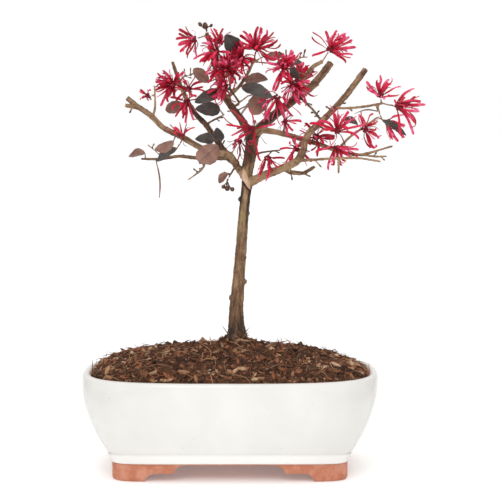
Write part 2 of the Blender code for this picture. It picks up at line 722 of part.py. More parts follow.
def petal_rings(at, ridge, twist):
    """Three-sided sections along a strap: its ridge, then its two edges, turning about its line."""
    rings = []
    for share in PETAL_STATIONS:
        spot = at(share)
        ahead = (at(share + 0.05) - spot).normalized()
        up = (ridge - ahead * ridge.dot(ahead)).normalized()
        up.rotate(Quaternion(ahead, twist * share))
        side = ahead.cross(up) * petal_width(share) / 2
        rings.append([spot + up * PETAL_RIDGE, spot + side, spot - side])
    return rings


def apart(line, other):
    """Whether two petals of one bloom stay clear of each other past their roots."""
    return all((p - q).length > PETAL_WIDTH + GAP for p in line[3:] for q in other[3:])


def make_bloom(name, core, away, facing, petals, length, taken):
    """A tuft of strap petals, each drawn out of a face of a 20-sided core that has one face on its twig."""
    draw = random.Random(name)
    shape = bmesh.new()
    bmesh.ops.create_icosphere(shape, subdivisions=1, radius=CORE_RADIUS)
    shape.faces.ensure_lookup_table()
    turn = (-shape.faces[0].calc_center_median()).rotation_difference(away)
    turn = Quaternion(away, draw.uniform(0, math.tau)) @ turn
    points = [core + turn @ v.co for v in shape.verts]
    sides = [[v.index for v in face.verts] for face in shape.faces]
    shape.free()
    middles = {tuple(side): sum((points[i] for i in side), Vector()) / 3 for side in sides}
    facing = facing.normalized()
    seated = sides.pop(0)
    sides.sort(key=lambda side: -(middles[tuple(side)] - core).dot(facing))
    faces, lines = [seated], []
    for side in sides:
        start = middles[tuple(side)]
        out = (start - core).normalized()
        line = None
        for _ in range(PETAL_TRIES if len(lines) < petals else 0):
            at = petal_line(draw, start, out, facing, length)
            trial = [at(i / 12) for i in range(13)]
            if taken.clear(trial[1:], PETAL_WIDTH / 2, skip=(name,)) and all(apart(trial, o) for o in lines):
                line = trial
                break
        if line is None:
            faces.append(side)
            continue
        lines.append(line)
        first = draw.randrange(3)
        ring = [side[(first + i) % 3] for i in range(3)]
        for section in petal_rings(at, points[ring[0]] - start, draw.uniform(-PETAL_TWIST, PETAL_TWIST)):
            above = [len(points) + i for i in range(3)]
            points += section
            faces += [(ring[i], ring[(i + 1) % 3], above[(i + 1) % 3], above[i]) for i in range(3)]
            ring = above
        points.append(at(1.0))
        faces += [(ring[i], ring[(i + 1) % 3], len(points) - 1) for i in range(3)]
    for line in lines:
        taken.add(name, line, [PETAL_WIDTH / 2] * len(line))
    bloom = new_object(name, points, faces, "petal")
    smooth_shading(bloom, 35)
    return len(lines)


def leaf_frame(foot, tip, roll):
    """The blade's directions: along the midrib, across it and out of its face."""
    along = (tip - foot).normalized()
    level = Vector((0, 0, 1)) if abs(along.z) < 0.9 else Vector((0, -1, 0))
    across = along.cross(level).normalized()
    face = across.cross(along)
    turned = across * math.cos(roll) + face * math.sin(roll)
    return along, turned, turned.cross(along)


def leaf_point(foot, tip, width, roll, share, across_share):
    """A point of the blade's middle sheet: an oval that arches along the midrib and folds across it."""
    _, across, face = leaf_frame(foot, tip, roll)
    length = (tip - foot).length
    half = max(width / 2 * math.sin(math.pi * share**0.85) ** 0.8, LEAF_TIP_HALF)
    lift = LEAF_ARCH * length * math.sin(math.pi * share) + LEAF_FOLD * half * abs(across_share)
    return foot.lerp(tip, share) + across * half * across_share + face * lift


def make_leaf(name, stalk, foot, tip, width, roll, shade):
    """A folded oval blade of even thickness with its stalk."""
    _, across, face = leaf_frame(foot, tip, roll)
    ahead = (foot - stalk).normalized()
    start_across = (across - ahead * across.dot(ahead)).normalized()
    rings = []
    for spot, wide in ((stalk, start_across), (foot, across)):
        lift = (face if spot is foot else start_across.cross(ahead)) * LEAF_THICKNESS / 2
        reach = wide * STALK_HALF
        top = [spot + reach + lift, spot + lift, spot - reach + lift]
        rings.append(top + [p - lift * 2 for p in reversed(top)])
    lift = face * LEAF_THICKNESS / 2
    for share in (*LEAF_STATIONS, 1.0):
        sheet = [leaf_point(foot, tip, width, roll, share, u) for u in (1, 0, -1)]
        rings.append([p + lift for p in sheet] + [p - lift for p in reversed(sheet)])
    leaf = loft(name, rings, shade)
    smooth_shading(leaf, 50)


def leaf_samples(foot, tip, width, roll):
    """Rows of points across the blade, to keep it clear of the rest with."""
    rows = []
    for i in range(10):
        share = 0.04 + 0.96 * i / 9
        rows.append([leaf_point(foot, tip, width, roll, share, u) for u in (-1, -0.5, 0, 0.5, 1)])
    return rows


def place_leaf(name, foot, tip, width, roll, taken):
    """Turns a leaf in small steps about its foot until its blade is clear of the rest."""
    draw = random.Random(name)
    reach = tip - foot
    for attempt in range(LEAF_TRIES * 8):
        amount = 0.02 * attempt
        nudge = Vector([draw.uniform(-1, 1) for _ in range(3)]) * amount * reach.length * 0.35
        aim = foot + (reach + nudge).normalized() * reach.length
        turn = roll + draw.uniform(-1, 1) * amount
        rows = leaf_samples(foot, aim, width, turn)
        if taken.clear([p for row in rows for p in row], LEAF_THICKNESS / 2, skip=(name,)):
            break
    else:
        print("no room for", name)
    for row in rows:
        taken.add(name, row, [LEAF_THICKNESS / 2 + 0.2] * len(row))
    return aim, turn


def cluster_heads(key, limbs):
    """The stalk's foot beyond its limb's end, and the place and radius of each head."""
    limb_name, heads = CLUSTERS[key]
    path = limbs[limb_name].points
    ahead = (path[-1] - path[-2]).normalized()
    foot = path[-1] + ahead * STALK_GAP
    return foot, [(path[-1] + Vector(place), radius) for place, radius in heads]


def make_cluster(name, foot, heads):
    """Buds or capsules on short stalks that fork from the first one's stalk."""
    (first, radius), *others = heads
    cluster = ball(name, first, radius, "bud")
    cluster["finish"] = "bud"
    fork = foot.lerp(first, BUD_FORK)
    parts = [rod("stalk", foot, first, BUD_STALK_RADIUS, 5, "bud")]
    for head, radius in others:
        parts += [ball("head", head, radius, "bud"), rod("stalk", fork, head, BUD_STALK_RADIUS, 5, "bud")]
    combine(cluster, "UNION", parts)


def hang_from_empty():
    """Parents every piece to one empty at the pot's centre and gives each bloom and leaf its own origin."""
    root = bpy.data.objects.new("bonsai", None)
    bpy.context.scene.collection.objects.link(root)
    root.location = (POT_OFFSET_X * METRES, 0, 0)
    for item in list(bpy.data.objects):
        if item.type != "MESH":
            continue
        item.parent = root


def main():
    """Builds the bonsai from the pot upwards."""
    clear_scene()
    make_pot()
    for side in (-1, 1):
        make_screen(side)
    make_soil()

    limbs = {name: smooth_path(points) for name, points in LIMBS.items()}
    taken = Taken()
    for name, limb in limbs.items():
        taken.add(name, limb.points, limb.radii)
    cores = {name: Vector(core) for name, core, *_ in BLOOMS}
    clusters = {key: cluster_heads(key, limbs) for key in CLUSTERS}
    for key, (foot, heads) in clusters.items():
        for head, radius in heads:
            taken.add(key, [foot, head], [BUD_STALK_RADIUS, radius])

    twigs, aways, stalks = [], {}, {}
    for name, core in cores.items():
        cores[name], aways[name] = seat(core, CORE_FACE, limbs)
        others = [c for n, c in cores.items() if n != name]
        end = cores[name] - aways[name] * (CORE_FACE + GAP)
        twigs.append(carry(f"twig_{name}", end, aways[name], limbs, taken, others))
    for name, foot, tip, *_ in LEAVES:
        foot, away = seat(Vector(foot), SHORT_STALK, limbs)
        _, near, radius, _ = nearest_on_limbs(foot, limbs)
        length = min(STALK_LENGTH, (foot - near).length - radius - GAP)
        if (foot - near).length > radius + STALK_LENGTH + STRAIGHT_TWIG:
            away = (away + (Vector(tip) - foot).normalized() * 0.5).normalized()
        stalks[name] = (foot - away * length, foot)
        end = foot - away * (length + STALK_GAP)
        twigs.append(carry(f"twig_{name}", end, away, limbs, taken, list(cores.values())))
    for name, core in cores.items():
        taken.add(name, [core, core + Vector((0, 0, 0.01))], [CORE_RADIUS, CORE_RADIUS])
    make_tree(limbs, [t for t in twigs if t])

    for name, _, tip, width, roll, shade in LEAVES:
        stalk, foot = stalks[name]
        aim, turn = place_leaf(name, foot, Vector(tip), width, math.radians(roll), taken)
        make_leaf(name, stalk, foot, aim, width, turn, shade)
    for name, _, facing, petals, length in BLOOMS:
        count = make_bloom(name, cores[name], aways[name], Vector(facing), petals, length, taken)
        if count < petals:
            print(name, "has", count, "of", petals, "petals")
    for key, (foot, heads) in clusters.items():
        make_cluster(key, foot, heads)
    hang_from_empty()


main()
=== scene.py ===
"""Chinese fringe flower bonsai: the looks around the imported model.

A small pruned tree with crimson strap-petalled blooms and dusky leaves stands in bark mulch, in a
white glazed pot on four bare clay feet. Tables are in millimetres from the pot's own centre, with +X to
the right, -Y to the front and Z up; spot() turns them into metres in the frame.
"""

import json
import logging
import math
import random
from dataclasses import dataclass, field
from enum import Enum
import bmesh  # noqa: E402
import bpy  # noqa: E402
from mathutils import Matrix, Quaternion, Vector, kdtree, noise  # noqa: E402

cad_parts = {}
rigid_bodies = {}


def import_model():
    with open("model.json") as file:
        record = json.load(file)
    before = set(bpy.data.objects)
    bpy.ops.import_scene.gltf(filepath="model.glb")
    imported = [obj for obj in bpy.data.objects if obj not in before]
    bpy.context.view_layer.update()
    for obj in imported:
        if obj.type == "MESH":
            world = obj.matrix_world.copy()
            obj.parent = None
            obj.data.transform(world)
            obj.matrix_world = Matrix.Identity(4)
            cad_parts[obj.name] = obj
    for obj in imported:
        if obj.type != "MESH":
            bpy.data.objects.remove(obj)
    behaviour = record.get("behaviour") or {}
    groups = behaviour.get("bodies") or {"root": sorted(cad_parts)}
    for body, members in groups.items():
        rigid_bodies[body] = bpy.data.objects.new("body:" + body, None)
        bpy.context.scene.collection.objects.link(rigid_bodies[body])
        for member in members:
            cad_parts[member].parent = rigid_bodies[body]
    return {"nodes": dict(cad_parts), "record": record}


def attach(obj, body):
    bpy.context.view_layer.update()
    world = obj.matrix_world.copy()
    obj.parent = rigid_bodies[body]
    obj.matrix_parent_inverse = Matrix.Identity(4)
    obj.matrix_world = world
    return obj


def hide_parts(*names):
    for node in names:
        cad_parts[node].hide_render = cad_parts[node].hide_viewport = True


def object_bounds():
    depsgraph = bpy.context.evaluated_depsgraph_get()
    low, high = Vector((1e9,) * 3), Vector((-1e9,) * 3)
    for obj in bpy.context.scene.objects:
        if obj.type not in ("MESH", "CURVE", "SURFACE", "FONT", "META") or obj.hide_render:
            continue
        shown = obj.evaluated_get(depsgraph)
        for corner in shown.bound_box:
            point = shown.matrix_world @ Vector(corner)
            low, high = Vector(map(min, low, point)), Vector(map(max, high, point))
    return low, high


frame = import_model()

CAD_BOX = [list(corner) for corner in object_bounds()]
MM = 0.001
POT_SHIFT = 13.6
BODY = "root"
WELD = 1e-5
BOX_MARGIN = 0.0004

log = logging.getLogger("bonsai")

Socket = bpy.types.NodeSocket
Mesh = bpy.types.Mesh
Object = bpy.types.Object
Material = bpy.types.Material


def spot(x: float, y: float, z: float) -> Vector:
    """A point of the tables as metres in the frame."""
    return Vector((x - POT_SHIFT, y, z)) * MM


def srgb(red: float, green: float, blue: float) -> tuple[float, float, float, float]:
    """A colour of 0 to 255 per channel as the linear colour that a finish uses."""
    parts = [c / 255 for c in (red, green, blue)]
    light = [c / 12.92 if c <= 0.04045 else ((c + 0.055) / 1.055) ** 2.4 for c in parts]
    return (*light, 1.0)


def grey(level: float) -> tuple[float, float, float, float]:
    """A colour without hue, in linear light."""
    return (level, level, level, 1.0)


def smooth_step(low: float, high: float, value: float) -> float:
    """0 below low, 1 above high and an S curve in between."""
    share = min(max((value - low) / (high - low), 0.0), 1.0)
    return share * share * (3 - 2 * share)


def keep_in_box(point: Vector, margin: float = BOX_MARGIN) -> Vector:
    """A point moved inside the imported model's box where it lies outside."""
    low, high = CAD_BOX
    return Vector(min(max(p, a + margin), b - margin) for p, a, b in zip(point, low, high))


class Graph:
    """Lays out the nodes of one finish or one shape."""

    def __init__(self, tree: bpy.types.NodeTree) -> None:
        """Starts on a tree."""
        self.tree = tree

    def put(self, kind: str, inputs: dict | None = None, **settings: object) -> bpy.types.Node:
        """Adds a node.

        Args:
            kind: The node's type.
            inputs: What each input is linked to or set to, by its name or place.
            settings: The node's own settings.

        Returns:
            The new node.
        """
        node = self.tree.nodes.new(kind)
        for name, value in settings.items():
            setattr(node, name, value)
        for key, value in (inputs or {}).items():
            if isinstance(value, Socket):
                self.tree.links.new(value, node.inputs[key])
            else:
                node.inputs[key].default_value = value
        return node

    def math(self, operation: str, first: object, second: object = 0.5, clamp: bool = False) -> Socket:
        """The result of one operation on a number or on two."""
        inputs = {0: first, 1: second}
        return self.put("ShaderNodeMath", inputs, operation=operation, use_clamp=clamp).outputs[0]

    def times(self, first: object, second: object) -> Socket:
        """The product of two numbers."""
        return self.math("MULTIPLY", first, second)

    def plus(self, first: object, second: object, clamp: bool = False) -> Socket:
        """The sum of two numbers, held between 0 and 1 where it is clamped."""
        return self.math("ADD", first, second, clamp)

    def centred(self, value: Socket) -> Socket:
        """A number of 0 to 1 as one of -0.5 to 0.5."""
        return self.math("SUBTRACT", value, 0.5)

    def stretch(self, vector: Socket, sizes: tuple[float, float, float]) -> Socket:
        """A vector multiplied along each axis."""
        return self.put("ShaderNodeVectorMath", {0: vector, 1: sizes}, operation="MULTIPLY").outputs[0]

    def noise(self, vector: Socket, scale: object, detail: float = 3.0, rough: float = 0.55) -> Socket:
        """Cloudy noise from 0 to 1 at a scale of features to the metre."""
        inputs = {"Vector": vector, "Scale": scale, "Detail": detail, "Roughness": rough}
        return self.put("ShaderNodeTexNoise", inputs).outputs[0]

    def cells(self, vector: Socket, scale: float, feature: str = "F1") -> Socket:
        """The distance to the nearest of scattered points, or to the edge between them."""
        inputs = {"Vector": vector, "Scale": scale}
        return self.put("ShaderNodeTexVoronoi", inputs, feature=feature).outputs["Distance"]

    def fade(self, value: Socket, low: float, high: float) -> Socket:
        """0 where a number is below low, 1 above high, smooth in between."""
        inputs = {"Value": value, "From Min": low, "From Max": high}
        return self.put("ShaderNodeMapRange", inputs, interpolation_type="SMOOTHSTEP").outputs[0]

    def mix(self, share: object, first: object, second: object) -> Socket:
        """Two colours mixed by a share."""
        return self.put("ShaderNodeMix", {0: share, 6: first, 7: second}, data_type="RGBA").outputs[2]

    def attribute(self, name: str, output: str = "Fac") -> Socket:
        """A number or vector that a finish reads from the mesh."""
        return self.put("ShaderNodeAttribute", attribute_name=name).outputs[output]

    def field(self, name: str, kind: str = "FLOAT") -> Socket:
        """A number or vector that a shape reads from its points."""
        node = self.put("GeometryNodeInputNamedAttribute", {"Name": name}, data_type=kind)
        return node.outputs["Attribute"]

    def position(self) -> Socket:
        """Where each point of a shape lies."""
        return self.put("GeometryNodeInputPosition").outputs[0]

    def chance(self, seed: int) -> Socket:
        """A random number from 0 to 1 for each bit of a shape."""
        inputs = {2: 0.0, 3: 1.0, "Seed": seed}
        return self.put("FunctionNodeRandomValue", inputs, data_type="FLOAT").outputs[1]

    def swell(self, shape: Socket, cloud: Socket, amount: Socket) -> Socket:
        """A shape pushed out and in along its normals by noise."""
        normal = self.put("GeometryNodeInputNormal").outputs[0]
        inputs = {0: normal, "Scale": self.times(self.centred(cloud), amount)}
        push = self.put("ShaderNodeVectorMath", inputs, operation="SCALE").outputs[0]
        return self.put("GeometryNodeSetPosition", {"Geometry": shape, "Offset": push}).outputs[0]

    def label(self, shape: Socket, name: str, value: object, domain: str) -> Socket:
        """A shape whose points or instances carry a number under a name."""
        inputs = {"Geometry": shape, "Name": name, "Value": value}
        settings = {"data_type": "FLOAT", "domain": domain}
        return self.put("GeometryNodeStoreNamedAttribute", inputs, **settings).outputs[0]

    def bump(
        self, height: Socket, distance: float, strength: float = 1.0, under: Socket | None = None
    ) -> Socket:
        """Relief in the light of a height, over another relief where one is given."""
        inputs = {"Height": height, "Distance": distance, "Strength": strength}
        if under is not None:
            inputs["Normal"] = under
        return self.put("ShaderNodeBump", inputs).outputs[0]


def new_finish(name: str) -> tuple[Material, Graph, bpy.types.Node, Socket]:
    """Starts a material.

    Args:
        name: The finish's name.

    Returns:
        The material, its graph, its Principled shader and its Object coordinates.
    """
    made = bpy.data.materials.new(name)
    made.use_nodes = True
    graph = Graph(made.node_tree)
    shader = made.node_tree.nodes["Principled BSDF"]
    place = graph.put("ShaderNodeTexCoord").outputs["Object"]
    return made, graph, shader, place


def dress(graph: Graph, shader: bpy.types.Node, **inputs: object) -> None:
    """Sets or links the shader's inputs, whose names are given with _ for a space."""
    for name, value in inputs.items():
        socket = shader.inputs[name.replace("_", " ")]
        if isinstance(value, Socket):
            graph.tree.links.new(value, socket)
        else:
            socket.default_value = value


@dataclass(frozen=True)
class GlazeFinish:
    """Warm white glaze: glossy, slightly uneven, thin and tan off edges; a painted highlight on its band,
    painted shade at its ends.
    """

    body: tuple = srgb(231, 230, 226)
    shade: tuple = srgb(224, 223, 219)
    # band: a painted highlight, the band at the foot made brighter than the wall
    band: tuple = srgb(241, 240, 236)
    # ends: painted shade, a grey for the pot's far left and right
    ends: tuple = srgb(186, 181, 171)
    thin: tuple = srgb(178, 160, 142)
    clay: tuple = srgb(150, 112, 86)
    pinhole: tuple = srgb(140, 118, 100)
    # The painted highlight on the band at the foot begins below the first of these heights and is full at the
    # second
    painted_highlight_heights: tuple = (0.0194, 0.0180)

    def make(self) -> Material:
        """Makes the material."""
        made, graph, shader, place = new_finish("white_glaze")
        cloud = graph.noise(place, 22, 3)
        colour = graph.mix(graph.fade(cloud, 0.35, 0.7), self.body, self.shade)
        wheel = graph.noise(graph.stretch(place, (6, 6, 300)), 1, 2)
        level = graph.put("ShaderNodeSeparateXYZ", {0: place}).outputs[2]
        # painted highlight: the band at the foot is brighter than the wall above it
        colour = graph.mix(graph.fade(level, *self.painted_highlight_heights), colour, self.band)
        patchy = graph.plus(graph.times(graph.noise(place, 60, 3), 0.6), 0.5)
        worn = graph.times(graph.attribute("thin"), patchy)
        colour = graph.mix(worn, colour, self.thin)
        bare = graph.attribute("bare")
        uneven = graph.plus(graph.times(graph.noise(place, 90, 3), 0.4), 0.7)
        # painted shade: the pot's far left and right are greyed, a little unevenly
        colour = graph.mix(graph.times(graph.attribute("ends"), uneven), colour, self.ends)
        colour = graph.mix(bare, colour, graph.mix(graph.noise(place, 300, 4), self.clay, self.thin))
        holes = graph.fade(graph.cells(place, 190), 0.075, 0.035)
        rare = graph.fade(graph.noise(place, 35, 1), 0.55, 0.62)
        holes = graph.times(holes, rare)
        colour = graph.mix(graph.times(holes, 0.55), colour, self.pinhole)
        gloss = graph.put("ShaderNodeMapRange", {"Value": bare, "To Min": 0.16, "To Max": 0.8}).outputs[0]
        relief = graph.bump(wheel, 0.00035, 0.35)
        relief = graph.bump(cloud, 0.0008, 0.25, relief)
        relief = graph.bump(graph.math("SUBTRACT", 1.0, holes), 0.0002, 0.5, relief)
        dress(graph, shader, Base_Color=colour, Roughness=gloss, Normal=relief, IOR=1.5)
        dress(graph, shader, Coat_Weight=0.35, Coat_Roughness=0.06)
        return made


@dataclass(frozen=True)
class ClayFinish:
    """Bare fired clay of the feet: pinkish mottle, fine grit and darker stains."""

    body: tuple = srgb(186, 117, 90)
    pale: tuple = srgb(204, 143, 118)
    dark: tuple = srgb(138, 82, 66)

    def make(self) -> Material:
        """Makes the material."""
        made, graph, shader, place = new_finish("bare_clay")
        mottle = graph.noise(place, 120, 4, 0.65)
        colour = graph.mix(graph.fade(mottle, 0.42, 0.66), self.body, self.pale)
        stain = graph.fade(graph.noise(place, 60, 3), 0.56, 0.74)
        colour = graph.mix(graph.times(stain, 0.6), colour, self.dark)
        grit = graph.fade(graph.cells(place, 900), 0.2, 0.08)
        colour = graph.mix(graph.times(grit, 0.35), colour, self.dark)
        relief = graph.bump(graph.noise(place, 700, 4), 0.0004, 0.6)
        relief = graph.bump(mottle, 0.0006, 0.4, relief)
        dress(graph, shader, Base_Color=colour, Roughness=0.82, Normal=relief, Specular_IOR_Level=0.3)
        return made


@dataclass(frozen=True)
class BarkFinish:
    """Thin bark: long streaks and fine cracks along each limb, pale wood where a limb was cut."""

    dark: tuple = srgb(50, 37, 29)
    middle: tuple = srgb(114, 83, 60)
    light: tuple = srgb(172, 140, 108)
    olive: tuple = srgb(140, 122, 80)
    wood: tuple = srgb(222, 192, 162)
    blush: tuple = srgb(206, 158, 134)
    slit: tuple = srgb(58, 30, 22)
    bud: tuple = srgb(82, 48, 42)

    def make(self) -> Material:
        """Makes the material."""
        made, graph, shader, place = new_finish("bark")
        grain = graph.attribute("grain", "Vector")
        streaks = graph.noise(graph.stretch(grain, (1, 1, 0.10)), 0.62, 4, 0.6)
        fine = graph.noise(graph.stretch(grain, (1, 1, 0.16)), 2.1, 4, 0.65)
        patches = graph.noise(place, 90, 3)
        tone = graph.plus(graph.attribute("tone"), graph.times(graph.centred(streaks), 1.5))
        tone = graph.plus(tone, graph.times(graph.centred(fine), 1.15))
        tone = graph.plus(tone, graph.times(graph.centred(patches), 1.3), clamp=True)
        lower = graph.mix(graph.fade(tone, 0.0, 0.5), self.dark, self.middle)
        colour = graph.mix(graph.fade(tone, 0.45, 1.0), lower, self.light)
        green = graph.times(graph.attribute("olive"), graph.fade(patches, 0.35, 0.7))
        green = graph.times(green, graph.fade(tone, 0.2, 0.8))
        colour = graph.mix(graph.times(green, 0.8), colour, self.olive)
        cracks = graph.fade(graph.noise(graph.stretch(grain, (1, 1, 0.22)), 1.5, 3), 0.42, 0.30)
        colour = graph.mix(graph.times(cracks, 0.55), colour, self.dark)
        lenticels = graph.fade(graph.cells(graph.stretch(grain, (1, 1, 0.5)), 0.5), 0.2, 0.12)
        colour = graph.mix(graph.times(lenticels, 0.3), colour, self.light)
        colour = graph.mix(graph.attribute("bud"), colour, self.bud)
        flesh = graph.mix(graph.fade(graph.noise(place, 260, 3), 0.35, 0.7), self.wood, self.blush)
        colour = graph.mix(graph.attribute("wood"), colour, flesh)
        colour = graph.mix(graph.attribute("slit"), colour, self.slit)
        relief = graph.bump(fine, 0.0005, 0.7)
        relief = graph.bump(streaks, 0.0007, 0.5, relief)
        relief = graph.bump(graph.noise(place, 1500, 3), 0.00015, 0.5, relief)
        dress(graph, shader, Base_Color=colour, Roughness=0.72, Normal=relief, Specular_IOR_Level=0.35)
        return made


@dataclass(frozen=True)
class PetalFinish:
    """Crimson strap petals: soft, a little translucent, deep at the root; lit petals get a pink painted
    highlight towards the tip, shaded ones painted shade.
    """

    root: tuple = srgb(138, 6, 32)
    body: tuple = srgb(208, 16, 58)
    # pale is a painted highlight, the pink of lit petals towards their tips
    pale: tuple = srgb(246, 128, 178)
    wilted: tuple = srgb(104, 18, 44)
    calyx: tuple = srgb(122, 18, 36)

    def make(self) -> Material:
        """Makes the material."""
        made, graph, shader, place = new_finish("crimson_petal")
        along, shade = graph.attribute("along"), graph.attribute("shade")
        colour = graph.mix(graph.fade(along, 0.0, 0.45), self.root, self.body)
        streak = graph.noise(place, 420, 3)
        # painted highlight: petals with a high shade value turn pale pink towards the tip
        lift = graph.times(graph.fade(shade, 0.45, 0.95), graph.fade(along, 0.2, 0.9))
        lift = graph.times(lift, graph.fade(streak, 0.3, 0.7))
        colour = graph.mix(graph.times(lift, 0.95), colour, self.pale)
        # painted shade: petals with a low shade value darken to the root's colour
        colour = graph.mix(graph.times(graph.fade(shade, 0.42, 0.05), 0.75), colour, self.root)
        colour = graph.mix(graph.attribute("wilt"), colour, self.wilted)
        colour = graph.mix(graph.attribute("calyx"), colour, self.calyx)
        relief = graph.bump(graph.noise(place, 1600, 2), 0.0001, 0.4)
        dress(graph, shader, Base_Color=colour, Roughness=0.5, Normal=relief, Specular_IOR_Level=0.3)
        dress(graph, shader, Subsurface_Weight=0.2, Subsurface_Scale=0.0008, Sheen_Weight=0.04)
        shader.inputs["Subsurface Radius"].default_value = (1.0, 0.25, 0.3)
        return made


@dataclass(frozen=True)
class LeafFinish:
    """A leaf blade: dusky satin above and mauve below, with a light midrib and fine side veins."""

    name: str
    upper: tuple = srgb(50, 46, 44)
    upper_light: tuple = srgb(78, 74, 68)
    under: tuple = srgb(134, 98, 86)
    under_light: tuple = srgb(162, 126, 108)
    upper_vein: tuple = srgb(92, 72, 64)
    under_vein: tuple = srgb(112, 66, 60)

    def make(self) -> Material:
        """Makes the material."""
        made, graph, shader, place = new_finish(self.name)
        sheet = graph.put("ShaderNodeUVMap", uv_map="Blade").outputs[0]
        parts = graph.put("ShaderNodeSeparateXYZ", {0: sheet})
        side = graph.math("ABSOLUTE", graph.centred(parts.outputs[0]), 0)
        lines = graph.math("SUBTRACT", graph.times(parts.outputs[1], 8.0), graph.times(side, 5.0))
        lines = graph.math("PINGPONG", lines, 0.5)
        veins = graph.fade(lines, 0.09, 0.02)
        net = graph.fade(graph.cells(graph.stretch(sheet, (22, 34, 1)), 1, "DISTANCE_TO_EDGE"), 0.09, 0.02)
        rib = graph.fade(side, 0.045, 0.015)
        top = graph.fade(graph.attribute("topside"), 0.45, 0.55)
        cloud = graph.fade(graph.noise(place, 130, 4), 0.35, 0.68)
        upper = graph.mix(cloud, self.upper, self.upper_light)
        under = graph.mix(cloud, self.under, self.under_light)
        marks = graph.math("MAXIMUM", graph.times(veins, 0.32), graph.times(net, 0.10))
        marks = graph.math("MAXIMUM", marks, graph.times(rib, 0.6))
        upper = graph.mix(marks, upper, self.upper_vein)
        under = graph.mix(marks, under, self.under_vein)
        rim = graph.fade(side, 0.44, 0.5)
        colour = graph.mix(top, under, upper)
        colour = graph.mix(graph.times(rim, 0.5), colour, self.under_vein)
        relief = graph.bump(graph.math("MAXIMUM", veins, net), 0.0002, 0.4)
        relief = graph.bump(graph.noise(place, 900, 3), 0.00012, 0.5, relief)
        gloss = graph.put("ShaderNodeMapRange", {"Value": top, "To Min": 0.6, "To Max": 0.36}).outputs[0]
        dress(graph, shader, Base_Color=colour, Roughness=gloss, Normal=relief, Specular_IOR_Level=0.4)
        dress(graph, shader, Subsurface_Weight=0.08, Subsurface_Scale=0.0008, Sheen_Weight=0.08)
        return made


@dataclass(frozen=True)
class BudFinish:
    """Scaly winter buds and woody seed capsules."""

    body: tuple = srgb(74, 48, 40)
    light: tuple = srgb(128, 96, 76)
    dark: tuple = srgb(36, 20, 18)

    def make(self) -> Material:
        """Makes the material."""
        made, graph, shader, place = new_finish("bud_scales")
        colour = graph.mix(graph.fade(graph.noise(place, 700, 3), 0.4, 0.7), self.body, self.light)
        colour = graph.mix(graph.fade(graph.attribute("seam"), 0.0, 1.0), colour, self.dark)
        relief = graph.bump(graph.noise(place, 1800, 3), 0.0002, 0.5)
        dress(graph, shader, Base_Color=colour, Roughness=0.65, Normal=relief, Specular_IOR_Level=0.3)
        return made


@dataclass(frozen=True)
class MulchFinish:
    """Bark, coir and grit: each bit has its own shade from dark humus to pale straw."""

    name: str
    shades: tuple = (
        (0.0, srgb(58, 36, 24)),
        (0.26, srgb(108, 72, 50)),
        (0.42, srgb(142, 84, 58)),
        (0.58, srgb(142, 102, 74)),
        (0.8, srgb(170, 130, 98)),
        (1.0, srgb(208, 178, 144)),
    )
    roughness: float = 0.88

    def make(self) -> Material:
        """Makes the material."""
        made, graph, shader, place = new_finish(self.name)
        ramp = graph.put("ShaderNodeValToRGB")
        while len(ramp.color_ramp.elements) < len(self.shades):
            ramp.color_ramp.elements.new(0.5)
        for element, (position, colour) in zip(ramp.color_ramp.elements, self.shades):
            element.position, element.color = position, colour
        speckle = graph.times(graph.centred(graph.noise(place, 500, 4, 0.65)), 0.7)
        graph.tree.links.new(graph.plus(graph.attribute("shade"), speckle, clamp=True), ramp.inputs[0])
        relief = graph.bump(graph.noise(place, 1400, 4, 0.7), 0.0004, 0.8)
        dress(graph, shader, Base_Color=ramp.outputs[0], Roughness=self.roughness, Normal=relief)
        dress(graph, shader, Specular_IOR_Level=0.25)
        return made


@dataclass(frozen=True)
class ScreenFinish:
    """Black plastic mesh over the drain holes."""

    body: tuple = srgb(30, 30, 31)
    dust: tuple = srgb(78, 66, 56)

    def make(self) -> Material:
        """Makes the material."""
        made, graph, shader, place = new_finish("screen_plastic")
        dirt = graph.fade(graph.noise(place, 240, 4), 0.45, 0.7)
        colour = graph.mix(graph.times(dirt, 0.6), self.body, self.dust)
        relief = graph.bump(graph.noise(place, 1200, 2), 0.0001, 0.4)
        dress(graph, shader, Base_Color=colour, Roughness=0.55, Normal=relief)
        return made


def shape_tree(name: str, sizes: dict[str, float]) -> tuple[Graph, Socket, dict[str, Socket], bpy.types.Node]:
    """Starts a geometry tree with one mesh in, one mesh out and named sizes.

    Args:
        name: The tree's name.
        sizes: The named inputs with their defaults.

    Returns:
        The graph, the mesh that comes in, the sizes by name and the output node.
    """
    tree = bpy.data.node_groups.new(name, "GeometryNodeTree")
    tree.interface.new_socket("Source", in_out="INPUT", socket_type="NodeSocketGeometry")
    for label, value in sizes.items():
        socket = tree.interface.new_socket(label, in_out="INPUT", socket_type="NodeSocketFloat")
        socket.default_value = value
    tree.interface.new_socket("Result", in_out="OUTPUT", socket_type="NodeSocketGeometry")
    graph = Graph(tree)
    start, end = graph.put("NodeGroupInput"), graph.put("NodeGroupOutput")
    return graph, start.outputs["Source"], {label: start.outputs[label] for label in sizes}, end


def end_tree(graph: Graph, shape: Socket, finish: Material, end: bpy.types.Node) -> bpy.types.NodeTree:
    """Ends a geometry tree: smooth faces, real instances and the finish.

    Args:
        graph: The tree's graph.
        shape: The geometry so far.
        finish: The material that it gets.
        end: The output node.

    Returns:
        The finished tree.
    """
    shape = graph.put("GeometryNodeRealizeInstances", {0: shape}).outputs[0]
    shape = graph.put("GeometryNodeSetShadeSmooth", {"Geometry": shape}).outputs[0]
    shape = graph.put("GeometryNodeSetMaterial", {"Geometry": shape, "Material": finish}).outputs[0]
    graph.tree.links.new(shape, end.inputs["Result"])
    return graph.tree


